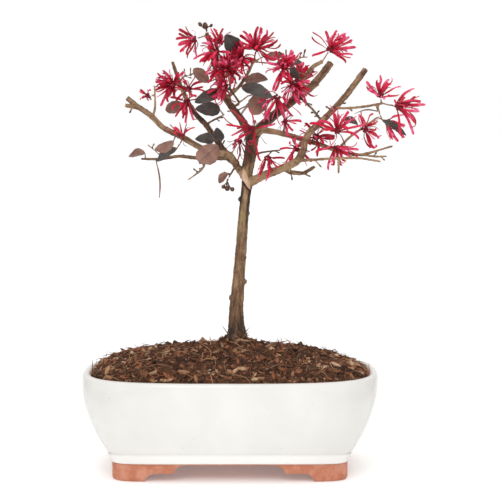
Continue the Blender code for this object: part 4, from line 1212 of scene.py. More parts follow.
LIMBS = {
    "trunk": Limb(Bark.TRUNK, False, (
        (4, 0, 46, 6), (4, 0, 80, 7.3), (4, 0, 88, 7.3), (4, 0, 96, 5.8), (4, 0, 108, 4.9), (7, 0, 146, 3.9),
        (9, 0, 173, 3.6), (11, 0, 192, 3.5), (12, 0, 206, 3.9), (14, 0, 218, 4.3), (15, 0, 230, 3.6))),
    "right_long": Limb(Bark.OLIVE, True, (
        (13, 0, 197, 3.2), (22, -8, 202, 2.9), (36, -22, 208, 2.6), (45, -32, 213, 2.5), (49, -34, 220, 2.3),
        (50, -34, 226, 2.2), (53, -33, 232, 2.2), (61, -32, 239, 2.1), (68, -30, 246, 2), (78, -27, 257, 2),
        (91, -22, 274, 2))),
    "right_middle": Limb(Bark.TAN, False, (
        (15, 0, 229, 2.4), (22, -2, 233, 2.1), (31, -8, 232, 1.9), (43, -14, 229, 1.8), (53, -18, 226, 1.7),
        (63, -24, 223, 1.5), (73, -28, 219, 1.3), (87, -32, 217, 1.1), (95, -34, 219, 0.9),
        (108, -38, 223, 0.7))),
    "right_middle_fork": Limb(Bark.TWIG, False, (
        (88, -32, 217, 0.9), (96, -31, 216, 0.8), (105, -30, 216, 0.7))),
    "right_low": Limb(Bark.TWIG, False, (
        (45, -32, 213, 1.3), (56, -38, 214, 1), (72, -42, 215, 0.9), (86, -46, 215, 0.8),
        (99, -50, 213, 0.7))),
    "right_low_stub": Limb(Bark.TWIG, False, ((72, -42, 215, 0.9), (72, -43, 205, 0.8))),
    "right_spur": Limb(Bark.GREY, True, (
        (36, -20, 208, 1.8), (41, -12, 205, 1.6), (50, -4, 204, 1.3), (58, 4, 208, 1.1))),
    "left_front": Limb(Bark.TAN, True, (
        (11, 0, 200, 2.6), (5, -2, 208, 2.4), (0, -6, 216, 2.2), (-8, -10, 218, 2.1), (-19, -12, 221, 2),
        (-33, -14, 229, 2), (-45, -16, 235, 1.9), (-53, -18, 243, 1.9), (-63, -20, 250, 1.8),
        (-69, -21, 255, 1.7))),
    "left_front_fork": Limb(Bark.TAN, True, (
        (-60, -19, 248, 1.5), (-65, -22, 249, 1.4), (-70, -24, 250, 1.3))),
    "left_back": Limb(Bark.GREY, False, (
        (6, 0, 208, 2), (-2, 2, 214, 1.8), (-10, 6, 214, 1.6), (-24, 14, 214, 1.4), (-36, 18, 215, 1.2),
        (-49, 22, 213, 1), (-63, 24, 213, 0.8))),
    "left_up": Limb(Bark.BROWN, True, (
        (1, -5, 215, 2.3), (-4, -4, 219, 2.2), (-10, 4, 227, 2), (-17, 12, 237, 1.9), (-24, 18, 244, 1.8),
        (-30, 24, 253, 1.6), (-35, 28, 264, 1.4), (-41, 30, 281, 1.2))),
    "main_right": Limb(Bark.BROWN, True, (
        (14, 0, 219, 3.9), (17, 1, 230, 3.6), (22, 4, 236, 3.3), (31, 8, 244, 3.1), (44, 14, 254, 2.9),
        (57, 18, 264, 2.7), (64, 20, 272, 2.6), (70, 22, 280, 2.5))),
    "main_right_fork": Limb(Bark.TAN, False, (
        (46, 14, 256, 2), (51, 8, 268, 1.6), (56, 4, 276, 1.4), (63, 2, 280, 1.3))),
    "main_left": Limb(Bark.BROWN, True, (
        (14, 0, 217, 3.3), (13, 2, 230, 2.9), (8, 8, 240, 2.6), (1, 12, 249, 2.4), (-6, 14, 260, 2.1),
        (-10, 12, 274, 1.7), (-13, 8, 287, 1.5), (-16, 4, 300, 1.3))),
    "centre_up": Limb(Bark.TWIG, False, (
        (-3, 13, 255, 1.3), (6, 8, 263, 1.2), (12, 6, 272, 1.1), (16, 5, 280, 0.9))),
    "twig_far_right": Limb(Bark.TWIG, False, (
        (70, -30, 248, 1), (79, -34, 248, 0.9), (89, -38, 249, 0.9), (101, -40, 251, 0.8))),
    "twig_mid_right": Limb(Bark.TWIG, False, (
        (72, -28, 220, 1), (80, -20, 228, 0.9), (92, -8, 236, 0.8), (101, 0, 242, 0.7))),
    "twig_link": Limb(Bark.GREY, False, (
        (48, 13, 256, 1), (56, 2, 248, 0.9), (60, -16, 242, 0.9), (62, -31, 240, 0.9))),
    "twig_far_left": Limb(Bark.TWIG, False, (
        (-52, -18, 242, 0.9), (-50, -22, 249, 0.8), (-50, -26, 263, 0.6))),
    "twig_low_left": Limb(Bark.TWIG, False, (
        (-16, -12, 220, 0.8), (-18, -20, 208, 0.7), (-28, -24, 200, 0.6))),
    "twig_front": Limb(Bark.GREY, False, ((15, 0, 215, 0.9), (21, -8, 218, 0.8), (34, -20, 220, 0.6))),
    "twig_centre": Limb(Bark.GREY, False, ((1, 11, 249, 0.9), (6, 4, 252, 0.8), (0, 0, 261, 0.7))),
    "twig_inner_left": Limb(Bark.GREY, False, ((-17, 12, 237, 0.8), (-10, 8, 241, 0.7), (-4, 6, 244, 0.6))),
    "twig_upper_left": Limb(Bark.TWIG, False, (
        (-36, 28, 267, 0.8), (-32, 26, 271, 0.6), (-28, 24, 271.5, 0.5), (-24, 22, 274, 0.5))),
    "twig_bud_left": Limb(Bark.GREY, False, ((-47, 21, 213, 0.6), (-52, 21, 218, 0.5), (-58, 20, 223, 0.5))),
    "twig_crown": Limb(Bark.GREY, False, (
        (50, 9, 266, 1.0), (44, 6, 274, 0.8), (38, 2, 282, 0.7), (33, 0, 287, 0.6))),
    "twig_crown_fork": Limb(Bark.TWIG, False, ((42, 5, 277, 0.7), (47, 0, 282, 0.6), (53, -3, 283, 0.5))),
    "twig_capsules": Limb(Bark.GREY, False, ((6, -3, 212, 0.8), (2, -12, 206, 0.7), (-1, -14, 201, 0.6))),
}
# The limbs that meet at the pruning scar
SCARRED = ("trunk", "left_front", "left_back", "right_long")
# The pruning scar's outline on the trunk's front, as (x, z) from its tip round by the right
SCAR = ((8.5, 209.2), (10.6, 205.6), (12.2, 201.6), (13.6, 197.5), (14.3, 194.0), (14.2, 191.6),
        (11.2, 194.0), (8.2, 197.4), (7.6, 201.0), (8.0, 205.6))
# The dark slit under it
SLIT = ((7.9, 197.9), (11.2, 194.1), (14.5, 191.2))


def edge_distance(x: float, z: float, line: tuple, closed: bool) -> float:
    """Distance from a point to a line of (x, z) corners."""
    best = math.inf
    corners = list(line) + ([line[0]] if closed else [])
    for (ax, az), (bx, bz) in zip(corners, corners[1:]):
        dx, dz = bx - ax, bz - az
        share = min(max(((x - ax) * dx + (z - az) * dz) / (dx * dx + dz * dz), 0.0), 1.0)
        best = min(best, math.hypot(x - ax - dx * share, z - az - dz * share))
    return best


def inside(x: float, z: float, line: tuple) -> bool:
    """Whether a point lies in a closed line of (x, z) corners."""
    hit = False
    for (ax, az), (bx, bz) in zip(line, (*line[1:], line[0])):
        if (az > z) != (bz > z) and x < (bx - ax) * (z - az) / (bz - az) + ax:
            hit = not hit
    return hit


@dataclass
class Tree:
    """The trunk, limbs, twigs and spurs as one skin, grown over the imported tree."""

    sides: int = 18
    step: float = 1.6
    voxel: float = 0.53
    spurs: int = 58
    relief: float = 0.34
    # Skin this far outside its limb is a spur, which gets a twig's bark and radius
    spur_apart: float = 0.9
    spur_radius: float = 0.8
    # The spurs' lengths and thicknesses, and how many points each has
    spur_lengths: tuple = (2.2, 6.0)
    spur_sizes: tuple = (0.46, 0.62)
    spur_points: int = 6
    # How strongly and how often the remeshed skin is smoothed
    smoothing: tuple = (0.5, 3)
    # Limbs thicker than this show no leaf scars
    thick_radius: float = 3.2
    samples: list = field(default_factory=list)

    @staticmethod
    def limb_tree(finish: Material, sizes: dict[str, float]) -> bpy.types.NodeTree:
        """The geometry tree that sweeps a round, slightly lumpy section along each limb."""
        graph, source, size, end = shape_tree("limb_sweep", sizes)
        path = graph.put("GeometryNodeMeshToCurve", {"Mesh": source}).outputs[0]
        inputs = {"Radius": 1.0, "Resolution": size["Sides"]}
        ring = graph.put("GeometryNodeCurvePrimitiveCircle", inputs, mode="RADIUS").outputs[0]
        inputs = {"Curve": path, "Profile Curve": ring, "Scale": graph.field("radius"), "Fill Caps": True}
        shape = graph.put("GeometryNodeCurveToMesh", inputs).outputs[0]
        lumps = graph.noise(graph.position(), size["Lump Scale"], 2)
        return end_tree(graph, graph.swell(shape, lumps, size["Lumps"]), finish, end)

    def spur_paths(self, draw: random.Random) -> list[list[tuple[Vector, float]]]:
        """Short dead spurs along the thinner limbs, each ending in a small bud."""
        names = [n for n in LIMBS if n != "trunk"]
        paths = []
        for _ in range(self.spurs):
            limb = LIMBS[draw.choice(names)].path(4.0)
            at = draw.randrange(1, len(limb) - 1)
            start, radius = limb[at]
            ahead = (limb[at + 1][0] - start).normalized()
            side = random_vector(draw, 1)
            side = (side - ahead * side.dot(ahead)).normalized()
            way = (side + ahead * draw.uniform(0.1, 0.9)).normalized()
            length = draw.uniform(*self.spur_lengths) * MM + radius
            bend = Vector([draw.uniform(-0.22, 0.22) for _ in range(3)]) * length
            thick = draw.uniform(*self.spur_sizes) * MM
            path = []
            tip = self.spur_points - 1
            for i in range(self.spur_points):
                share = i / tip
                # the bud sits just before the tip
                bulge = 1.0 + (0.55 if i == tip - 1 else 0.15 if i == tip - 2 else 0)
                point = keep_in_box(start + way * length * share + bend * share**2)
                path.append((point, thick * (1.15 - 0.35 * share) * bulge))
            paths.append(path)
        return paths

    def rough_mesh(self, finish: Material) -> tuple[Mesh, list[Vector]]:
        """All limbs swept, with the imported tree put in.

        Args:
            finish: The bark.

        Returns:
            The overlapping shapes in one mesh, and the places of the spurs' buds.
        """
        spurs = self.spur_paths(random.Random("spurs"))
        paths = [limb.path(self.step) for limb in LIMBS.values()] + spurs
        source = line_mesh("limbs", [[point for point, _ in path] for path in paths])
        paint(source, "radius", [radius for path in paths for _, radius in path])
        sizes = {"Sides": float(self.sides), "Lumps": 0.0005, "Lump Scale": 240.0}
        swept = grow("limbs", source, self.limb_tree(finish, sizes), sizes)
        shape = merged_copy(frame["nodes"]["tree"])
        shape.from_mesh(swept)
        result = bpy.data.meshes.new("tree_rough")
        shape.to_mesh(result)
        shape.free()
        bpy.data.meshes.remove(swept)
        return result, [path[-2][0] for path in spurs]

    def sample_limbs(self) -> kdtree.KDTree:
        """Points along every limb, with what the bark needs there.

        Each sample holds the point, radius, direction, millimetres along the limb and the limb's name.
        """
        for name, limb in LIMBS.items():
            path = limb.path(1.0)
            travelled = 0.0
            for i, (point, radius) in enumerate(path):
                nearby = path[min(i + 1, len(path) - 1)][0] - path[max(i - 1, 0)][0]
                if i:
                    travelled += (point - path[i - 1][0]).length
                self.samples.append((point, radius, nearby.normalized(), travelled / MM, name))
        return point_finder([sample[0] for sample in self.samples])

    @staticmethod
    def bark_tone(name: str, bark: Bark, z: float, along: float, painted_side_shade: float) -> tuple[float, float]:
        """How light and how green the bark is.

        Args:
            name: The limb.
            bark: The bark's kind there.
            z: The height in millimetres.
            along: How far along the limb, in millimetres.
            painted_side_shade: 0 on the trunk's middle and 1 on its sides, which get painted shade.

        Returns:
            The two shares.
        """
        tone, olive = bark.value
        if name == "trunk":
            tone = -0.02 + 0.6 * smooth_step(84.0, 118.0, z) - 0.34 * smooth_step(204.0, 218.0, z)
            # painted shade darkens the trunk's sides between about 160 and 196 mm; its middle is lighter near
            # 188 mm
            tone -= 0.5 * painted_side_shade * smooth_step(160, 176, z) * smooth_step(196, 189, z)
            tone += 0.4 * (1 - painted_side_shade) * math.exp(-(((z - 188) / 4.0) ** 2))
            olive = 0.9 * smooth_step(110, 170, z) * smooth_step(214, 200, z)
        elif name == "right_long":
            tone = 0.98 - 0.38 * smooth_step(30, 60, along)
            olive = 0.6 * smooth_step(60, 25, along)
        elif name in ("main_right", "left_up"):
            tone = 0.26 + 0.4 * smooth_step(35, 80, along)
        return tone, olive

    @staticmethod
    def leaf_scar(name: str, along: float, offset: float) -> tuple[float, float]:
        """The swelling of an old leaf's scar in millimetres, and the dark line beside it."""
        spacing = 10.0 + 3.0 * math.sin(len(name) * 1.7)
        at = (along + offset + 3.0 * math.sin(along * 0.23 + offset)) % spacing - spacing / 2
        return 0.24 * math.exp(-((at / 0.8) ** 2)), 0.25 * math.exp(-(((at - 0.9) / 0.45) ** 2))

    def bark_relief(self, spot_mm: Vector, grain: Vector, radius: float, swelling: float) -> float:
        """How far the bark stands out, in millimetres: long cracks, roughness and a leaf's scar."""
        size = min(radius / (3.6 * MM), 1.6)
        cracks = noise.fractal(Vector((grain.x * 0.75, grain.y * 0.75, grain.z * 0.13)), 0.7, 2.1, 3)
        rough = noise.fractal(spot_mm * 0.55, 0.6, 2.0, 3)
        return (0.55 * cracks + 0.45 * rough) * self.relief * size + swelling * min(radius / MM, 2.0) / 2

    @staticmethod
    def foot_ribs(spot_mm: Vector, z: float, turn: float) -> tuple[float, float]:
        """The ribs and the lumps of the trunk's flaring foot, in millimetres."""
        flare = smooth_step(112.0, 86.0, z)
        ribs = flare * (0.55 * math.sin(3 * turn + 0.7) + 0.35 * math.sin(5 * turn + z * 0.08))
        return ribs, flare * 0.5 * noise.noise(spot_mm * 0.5)

    @staticmethod
    def pruning_scar(x: float, z: float, deep: float) -> tuple[float, float, float]:
        """The relief, the bare wood and the dark slit at a place on the trunk's front."""
        wood = 0.0
        edge = edge_distance(x, z, SCAR, True)
        if inside(x, z, SCAR):
            wood = smooth_step(0.0, 0.45, edge)
            deep = deep * 0.15 - 0.5 * wood
        else:
            deep += 0.4 * smooth_step(1.8, 0.0, edge)
        slit = smooth_step(0.95, 0.45, edge_distance(x, z, SLIT, False))
        return deep - 0.8 * slit, wood, slit

    @staticmethod
    def cut_ends(place: Vector, ends: list, wood: float, tone: float) -> tuple[float, float]:
        """The bare wood and the tone near cut limb ends, whose wood has a dark ring round it."""
        for (end, radius), (before, _) in ends:
            out = (end - before).normalized()
            gap = place - end
            level = gap.dot(out)
            if -0.6 * MM < level and gap.length < radius * 1.6:
                across = (gap - out * level).length / radius
                bare = smooth_step(0.86, 0.74, across) * smooth_step(-0.5 * MM, -0.1 * MM, level)
                wood = max(wood, bare)
                tone -= 0.35 * smooth_step(0.7, 0.85, across)
        return wood, tone

    def skin(self, mesh: Mesh, buds: list[Vector]) -> None:
        """Gives the skin its bark relief, its scar, its cut ends and the values that its finish reads."""
        finder, bud_finder = self.sample_limbs(), point_finder(buds)
        ends = [(limb.path(1.0)[-1], limb.path(1.0)[-2]) for limb in LIMBS.values() if limb.cut]
        values = {label: [] for label in ("tone", "olive", "wood", "slit", "bud")}
        grains, moved = [], []
        for vert in mesh.vertices:
            place, normal = vert.co.copy(), vert.normal.copy()
            found = finder.find_n(place, 10)
            _, index, _ = min(found, key=lambda hit: hit[2] - self.samples[hit[1]][1])
            foot, radius, ahead, travelled, name = self.samples[index]
            away = place - foot
            radial = away - ahead * away.dot(ahead)
            along = travelled + away.dot(ahead) / MM
            offset = (sum(map(ord, name)) % 17) * 31.0
            grain = radial / MM
            frame_u = ahead.orthogonal().normalized() if name != "trunk" else Vector((1, 0, 0))
            frame_v = ahead.cross(frame_u)
            grain = Vector((grain.dot(frame_u), grain.dot(frame_v), along + offset))
            bark = LIMBS[name].bark
            if radial.length - radius > self.spur_apart * MM:
                bark, radius = Bark.TWIG, self.spur_radius * MM
            x, y, z = place.x / MM + POT_SHIFT, place.y / MM, place.z / MM
            spot_mm = Vector((x, y, z))
            # how far a point lies towards the trunk's sides, for its painted shade
            painted_side_shade = smooth_step(0.25, 0.8, abs(grain.x + 0.4) / (radius / MM))
            tone, olive = self.bark_tone(name, bark, z, along, painted_side_shade)
            swelling = 0.0
            if radius < self.thick_radius * MM:
                swelling, line = self.leaf_scar(name, along, offset)
                tone -= line
            deep = self.bark_relief(spot_mm, grain, radius, swelling)
            if name == "trunk":
                for part in self.foot_ribs(spot_mm, z, math.atan2(radial.y, radial.x)):
                    deep += part
            wood = slit = 0.0
            if name in SCARRED and normal.y < -0.1 and 188 < z < 212:
                deep, wood, slit = self.pruning_scar(x, z, deep)
            wood, tone = self.cut_ends(place, ends, wood, tone)
            bud = smooth_step(1.3 * MM, 0.8 * MM, bud_finder.find(place)[2])
            for label, value in zip(values, (tone, olive, wood, slit, bud)):
                values[label].append(value)
            moved.append(keep_in_box(place + normal * deep * MM))
            grains.append(grain)
        mesh.vertices.foreach_set("co", [c for p in moved for c in p])
        paint(mesh, "grain", grains, "FLOAT_VECTOR")
        for label, numbers in values.items():
            paint(mesh, label, numbers)
        mesh.update()

    def build(self, finish: Material) -> Object:
        """Builds the whole tree.

        Args:
            finish: The bark.

        Returns:
            The piece.
        """
        rough, buds = self.rough_mesh(finish)
        item = add_object("tree_rough", rough)
        skin = item.modifiers.new("Skin", "REMESH")
        skin.mode, skin.voxel_size, skin.use_smooth_shade = "VOXEL", self.voxel * MM, True
        ease = item.modifiers.new("Ease", "SMOOTH")
        ease.factor, ease.iterations = self.smoothing
        mesh = evaluated_mesh(item)
        item.modifiers.clear()
        bpy.data.objects.remove(item)
        bpy.data.meshes.remove(rough)
        self.skin(mesh, buds)
        mesh.materials.clear()
        mesh.materials.append(finish)
        return finish_piece(add_object("tree_bark", mesh), ["tree"])


@dataclass
class Petal:
    """One strap petal: where it starts, its lead and bend, its sides and how it curls."""

    start: Vector
    lead: Vector
    bend: Vector
    across: tuple[Vector, Vector]
    shade: float
    width: float
    curl: float
    sway: float
    wilt: float

    STATIONS = (0.0, 0.06, 0.13, 0.21, 0.29, 0.37, 0.45, 0.53, 0.61, 0.69, 0.77, 0.84, 0.9, 0.945, 0.98, 1.0)
    # Where the strap has its full width, where its tip begins to round off, and over what share it does
    FULL_FROM, ROUND_FROM, ROUND_RUN = 0.38, 0.87, 0.135

    def half_width(self, share: float) -> float:
        """Half the strap's width: narrow at its root, even, and rounded off at its tip."""
        root = 0.5 + 0.5 * smooth_step(0.0, self.FULL_FROM, share)
        rounding = max(share - self.ROUND_FROM, 0.0) / self.ROUND_RUN
        return self.width / 2 * root * math.sqrt(max(1 - rounding**2, 0.05))

    def stations(self) -> list[tuple[Vector, Vector, float, float]]:
        """The path with, at each station, its point, its side direction, half width and share of the way."""
        point, rows = self.start.copy(), []
        length = (self.lead + self.bend).length
        for i, share in enumerate(self.STATIONS):
            ahead = (self.lead + self.bend * 2 * share).normalized()
            # the side turns from the inner section's to the outer one's, and a little past both
            turned = min(max((share - 0.24) / 0.38, -0.4), 1.8)
            mixed = self.across[0].lerp(self.across[1], turned)
            side = (mixed - ahead * mixed.dot(ahead)).normalized()
            curl = self.curl * max(share - 0.5, 0.0) ** 2 * 4
            curl += 0.22 * self.sway * math.sin(7.5 * share + self.sway * 9)
            ahead = Quaternion(side, curl) @ ahead
            face = side.cross(ahead)
            ahead = Quaternion(face, 0.3 * self.sway * math.sin(4.5 * share + self.sway * 5)) @ ahead
            if i:
                point = keep_in_box(point + ahead * length * (share - self.STATIONS[i - 1]))
            rows.append((point.copy(), side, self.half_width(share), share))
        return rows


# Which way each tuft's petals lean, as (right, up)
LEANS = {
    "bloom_branch_end": (0.6, 0.4), "bloom_far_right": (0.6, 0.15), "bloom_far_right_up": (0.35, 0.55),
    "bloom_right": (0.25, 0.5), "bloom_mid_right": (0.35, -0.1), "bloom_outer_right": (0.4, -0.5),
    "bloom_crown_left": (-0.5, -0.15), "bloom_crown_upright": (0.1, 0.7), "bloom_crown": (0.15, 0.5),
    "bloom_front": (-0.6, 0.0), "bloom_front_hanging": (0.05, -0.8), "bloom_hanging_right": (-0.1, -0.6),
    "bloom_trunk": (0.0, -0.8), "bloom_left": (-0.35, 0.15), "bloom_left_low": (-0.1, -0.3),
    "bloom_low_left": (-0.1, 0.5), "bloom_back_right": (0.3, 0.1), "bloom_upper_left": (-0.3, -0.2),
    "bloom_centre_right": (0.2, -0.3), "bloom_low_right": (0.3, -0.1), "bloom_right_hanging": (0.1, -0.3),
}


# The tufts that are full of petals, in the middle of the crown
DENSE = ("centre", "centre_left", "centre_right", "inner_left", "upper_left", "upper_right", "back_centre",
         "back_right", "crown", "left")
# The tufts with a few thin petals only
SPARSE = ("front", "front_hanging", "tip_left", "low_left")


@dataclass
class Bloom:
    """One tuft of strap petals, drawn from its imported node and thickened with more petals."""

    name: str
    extra: float = 0.65
    threads: int = 6
    petals: list = field(default_factory=list)

    # Where along a packed petal its outer section stands
    SECTION = 0.62
    # The least angle between added petals, and how often a free way is looked for
    APART = 0.19
    TRIES = 30
    # How many times as many petals are added to the dense and to the sparse tufts
    DENSE_SHARE, SPARSE_SHARE = 3.0, 0.3
    # Widths of petals and threads in millimetres, how far petals lean and how much they curl
    WIDTHS, THREAD_WIDTHS = (1.45, 2.25), (0.5, 0.9)
    LEAN = (0.15, 0.95)
    CURL = 0.95
    # The power of a random number that gives a petal's painted light, pale when high and dark when low, in
    # the light and elsewhere
    LIT, SHADED = 0.45, 1.35
    # How far the ways of added petals and of threads stray from those that are there
    STRAY, THREAD_STRAY = 0.42, 0.8
    # How far from the core's centre added petals start, in millimetres
    ROOT = 1.7
    # The straps' section as shares of half their width, and their unevenness and cups in metres
    SIZES = {"Thickness": 0.17, "Channel": 0.32, "Crinkle": 0.00022, "Cup Radius": 0.0009}

    def read_node(self, draw: random.Random) -> tuple[Vector, float]:
        """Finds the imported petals' paths.

        Args:
            draw: The bloom's own random draws.

        Returns:
            The core's centre and the petals' mean length.
        """
        shape = merged_copy(frame["nodes"][self.name])
        tips = [v for v in shape.verts if len(v.link_edges) == 3]
        used = set(tips)
        lengths = []
        for tip in tips:
            outer = {e.other_vert(tip) for e in tip.link_edges}
            used.update(outer)
            inner = {e.other_vert(v) for v in outer for e in v.link_edges} - outer - {tip}
            used.update(inner)
            roots = {e.other_vert(v) for v in inner for e in v.link_edges} - inner - outer
            start = sum((v.co for v in in_order(roots)), Vector()) / len(roots)
            (_, side_in), (mid_out, side_out) = self.edges_of(in_order(inner)), self.edges_of(in_order(outer))
            if side_in.dot(side_out) < 0:
                side_out = -side_out
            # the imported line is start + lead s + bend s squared, with the outer section at s = SECTION
            total, part = tip.co - start, mid_out - start
            bend = (total * self.SECTION - part) / (self.SECTION - self.SECTION**2)
            lengths.append(total.length)
            self.petals.append(self.petal(draw, start, total - bend, bend, (side_in, side_out)))
        core = [v.co for v in shape.verts if v not in used]
        centre = sum(core, Vector()) / len(core)
        shape.free()
        return centre, sum(lengths) / len(lengths)

    @staticmethod
    def edges_of(section: list) -> tuple[Vector, Vector]:
        """The middle and the direction of the two edges of a three-sided section."""
        a, b = widest_pair([v.co for v in section])
        return (a + b) / 2, (b - a).normalized()

    def petal(self, draw: random.Random, start: Vector, lead: Vector, bend: Vector, across: tuple) -> Petal:
        """One petal with its own width, shade and curl."""
        wilt = 0.75 if self.name == "bloom_trunk" else 0.0
        right, up = LEANS.get(self.name, (0.0, 0.0))
        way = (lead + bend).normalized()
        turn = way.rotation_difference(way + Vector((right, 0, up)) * draw.uniform(*self.LEAN))
        lead, bend, across = turn @ lead, turn @ bend, tuple(turn @ side for side in across)
        thin = 0.6 if wilt else 0.8 if self.name.removeprefix("bloom_") in SPARSE else 1.0
        width = draw.uniform(*self.WIDTHS) * thin * MM
        curl = draw.gauss(0, self.CURL)
        # the tufts at the right are in the light, so more of their petals get the pale painted highlight
        shade = draw.random() ** (self.LIT if "right" in self.name or "end" in self.name else self.SHADED)
        return Petal(start, lead, bend, across, shade, width, curl, draw.uniform(-1, 1), wilt)

    def thicken(self, draw: random.Random, centre: Vector, length: float) -> None:
        """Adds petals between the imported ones, and a few wilted threads."""
        facing = sum(((p.lead + p.bend).normalized() for p in self.petals), Vector()).normalized()
        name = self.name.removeprefix("bloom_")
        fullness = self.DENSE_SHARE if name in DENSE else self.SPARSE_SHARE if name in SPARSE else 1.0
        count = round(len(self.petals) * self.extra * fullness)
        for k in range(count + self.threads):
            thread = k >= count
            ways = [(p.lead + p.bend).normalized() for p in self.petals]
            way = facing
            for _ in range(self.TRIES):
                near = random_vector(draw, self.THREAD_STRAY if thread else self.STRAY)
                way = (draw.choice(ways) + facing * 0.15 + near).normalized()
                if all(way.angle(w) > self.APART for w in ways):
                    break
            side = way.cross(random_vector(draw, 1)).normalized()
            reach = length * draw.uniform(0.72, 1.02)
            sideways = side.cross(way) * draw.uniform(-0.25, 0.25)
            bend = (sideways + Vector((0, 0, -0.3 * draw.random()))) * reach
            other = Quaternion(way, draw.uniform(-0.9, 0.9)) @ side
            start = centre + way * self.ROOT * MM
            petal = self.petal(draw, start, way * reach - bend * 0.5, bend, (side, other))
            if thread:
                petal.width, petal.wilt = draw.uniform(*self.THREAD_WIDTHS) * MM, draw.uniform(0.6, 1.0)
                petal.curl, petal.sway = draw.uniform(-3.0, 3.0), draw.uniform(-2.0, 2.0)
                petal.lead *= draw.uniform(0.55, 0.95)
            self.petals.append(petal)

    @classmethod
    def strap_tree(cls, finish: Material) -> bpy.types.NodeTree:
        """The geometry tree that sweeps a channelled strap along each petal and sets a cup at its root."""
        graph, source, size, end = shape_tree("petal_straps", cls.SIZES)
        path = graph.put("GeometryNodeMeshToCurve", {"Mesh": source}).outputs[0]
        inputs = {"Curve": path, "Normal": graph.field("side", "FLOAT_VECTOR")}
        path = graph.put("GeometryNodeSetCurveNormal", inputs, mode="FREE").outputs[0]
        inputs = {"Resolution": 8, "Radius": 1.0}
        ring = graph.put("GeometryNodeCurvePrimitiveCircle", inputs, mode="RADIUS").outputs[0]
        # the section is a flattened ring, bent to a channel
        at = graph.put("ShaderNodeSeparateXYZ", {0: graph.position()})
        dip = graph.times(graph.times(at.outputs[0], at.outputs[0]), size["Channel"])
        low = graph.plus(graph.times(at.outputs[1], size["Thickness"]), dip)
        section = graph.put("ShaderNodeCombineXYZ", {0: at.outputs[0], 1: low}).outputs[0]
        ring = graph.put("GeometryNodeSetPosition", {"Geometry": ring, "Position": section}).outputs[0]
        inputs = {"Curve": path, "Profile Curve": ring, "Scale": graph.field("half_width"), "Fill Caps": True}
        straps = graph.put("GeometryNodeCurveToMesh", inputs).outputs[0]
        straps = graph.swell(straps, graph.noise(graph.position(), 520, 2), size["Crinkle"])
        inputs = {"Radius": size["Cup Radius"], "Subdivisions": 2}
        cup = graph.put("GeometryNodeMeshIcoSphere", inputs).outputs[0]
        cup = graph.label(cup, "calyx", 1.0, "POINT")
        # a cup sits at the first point of each path
        dots = graph.put("GeometryNodeMeshToPoints", {"Mesh": source}).outputs[0]
        settings = {"data_type": "FLOAT", "operation": "LESS_THAN"}
        rooted = graph.put("FunctionNodeCompare", {0: graph.field("along"), 1: 0.01}, **settings)
        inputs = {"Points": dots, "Selection": rooted.outputs[0], "Instance": cup}
        cups = graph.put("GeometryNodeInstanceOnPoints", inputs)
        joined = graph.put("GeometryNodeJoinGeometry")
        graph.tree.links.new(cups.outputs[0], joined.inputs[0])
        graph.tree.links.new(straps, joined.inputs[0])
        return end_tree(graph, joined.outputs[0], finish, end)

    def build(self, tree: bpy.types.NodeTree) -> Object:
        """Builds the tuft.

        Args:
            tree: The straps' geometry tree.

        Returns:
            The piece.
        """
        draw = random.Random(self.name)
        centre, length = self.read_node(draw)
        self.thicken(draw, centre, length)
        paths = [petal.stations() for petal in self.petals]
        source = line_mesh(self.name, [[row[0] for row in path] for path in paths])
        paint(source, "side", [row[1] for path in paths for row in path], "FLOAT_VECTOR")
        paint(source, "half_width", [row[2] for path in paths for row in path])
        paint(source, "along", [row[3] for path in paths for row in path])
        for label in ("shade", "wilt"):
            paint(source, label, [getattr(petal, label) for petal in self.petals for _ in Petal.STATIONS])
        mesh = grow(self.name, source, tree, self.SIZES)
        hold_in_box(mesh)
        return finish_piece(add_object(f"{self.name}_tuft", mesh), [self.name])


class LeafSide(Enum):
    """Which side of a leaf looks to the front."""

    UPPER = "leaf_dark"
    UNDER = "leaf_mauve"


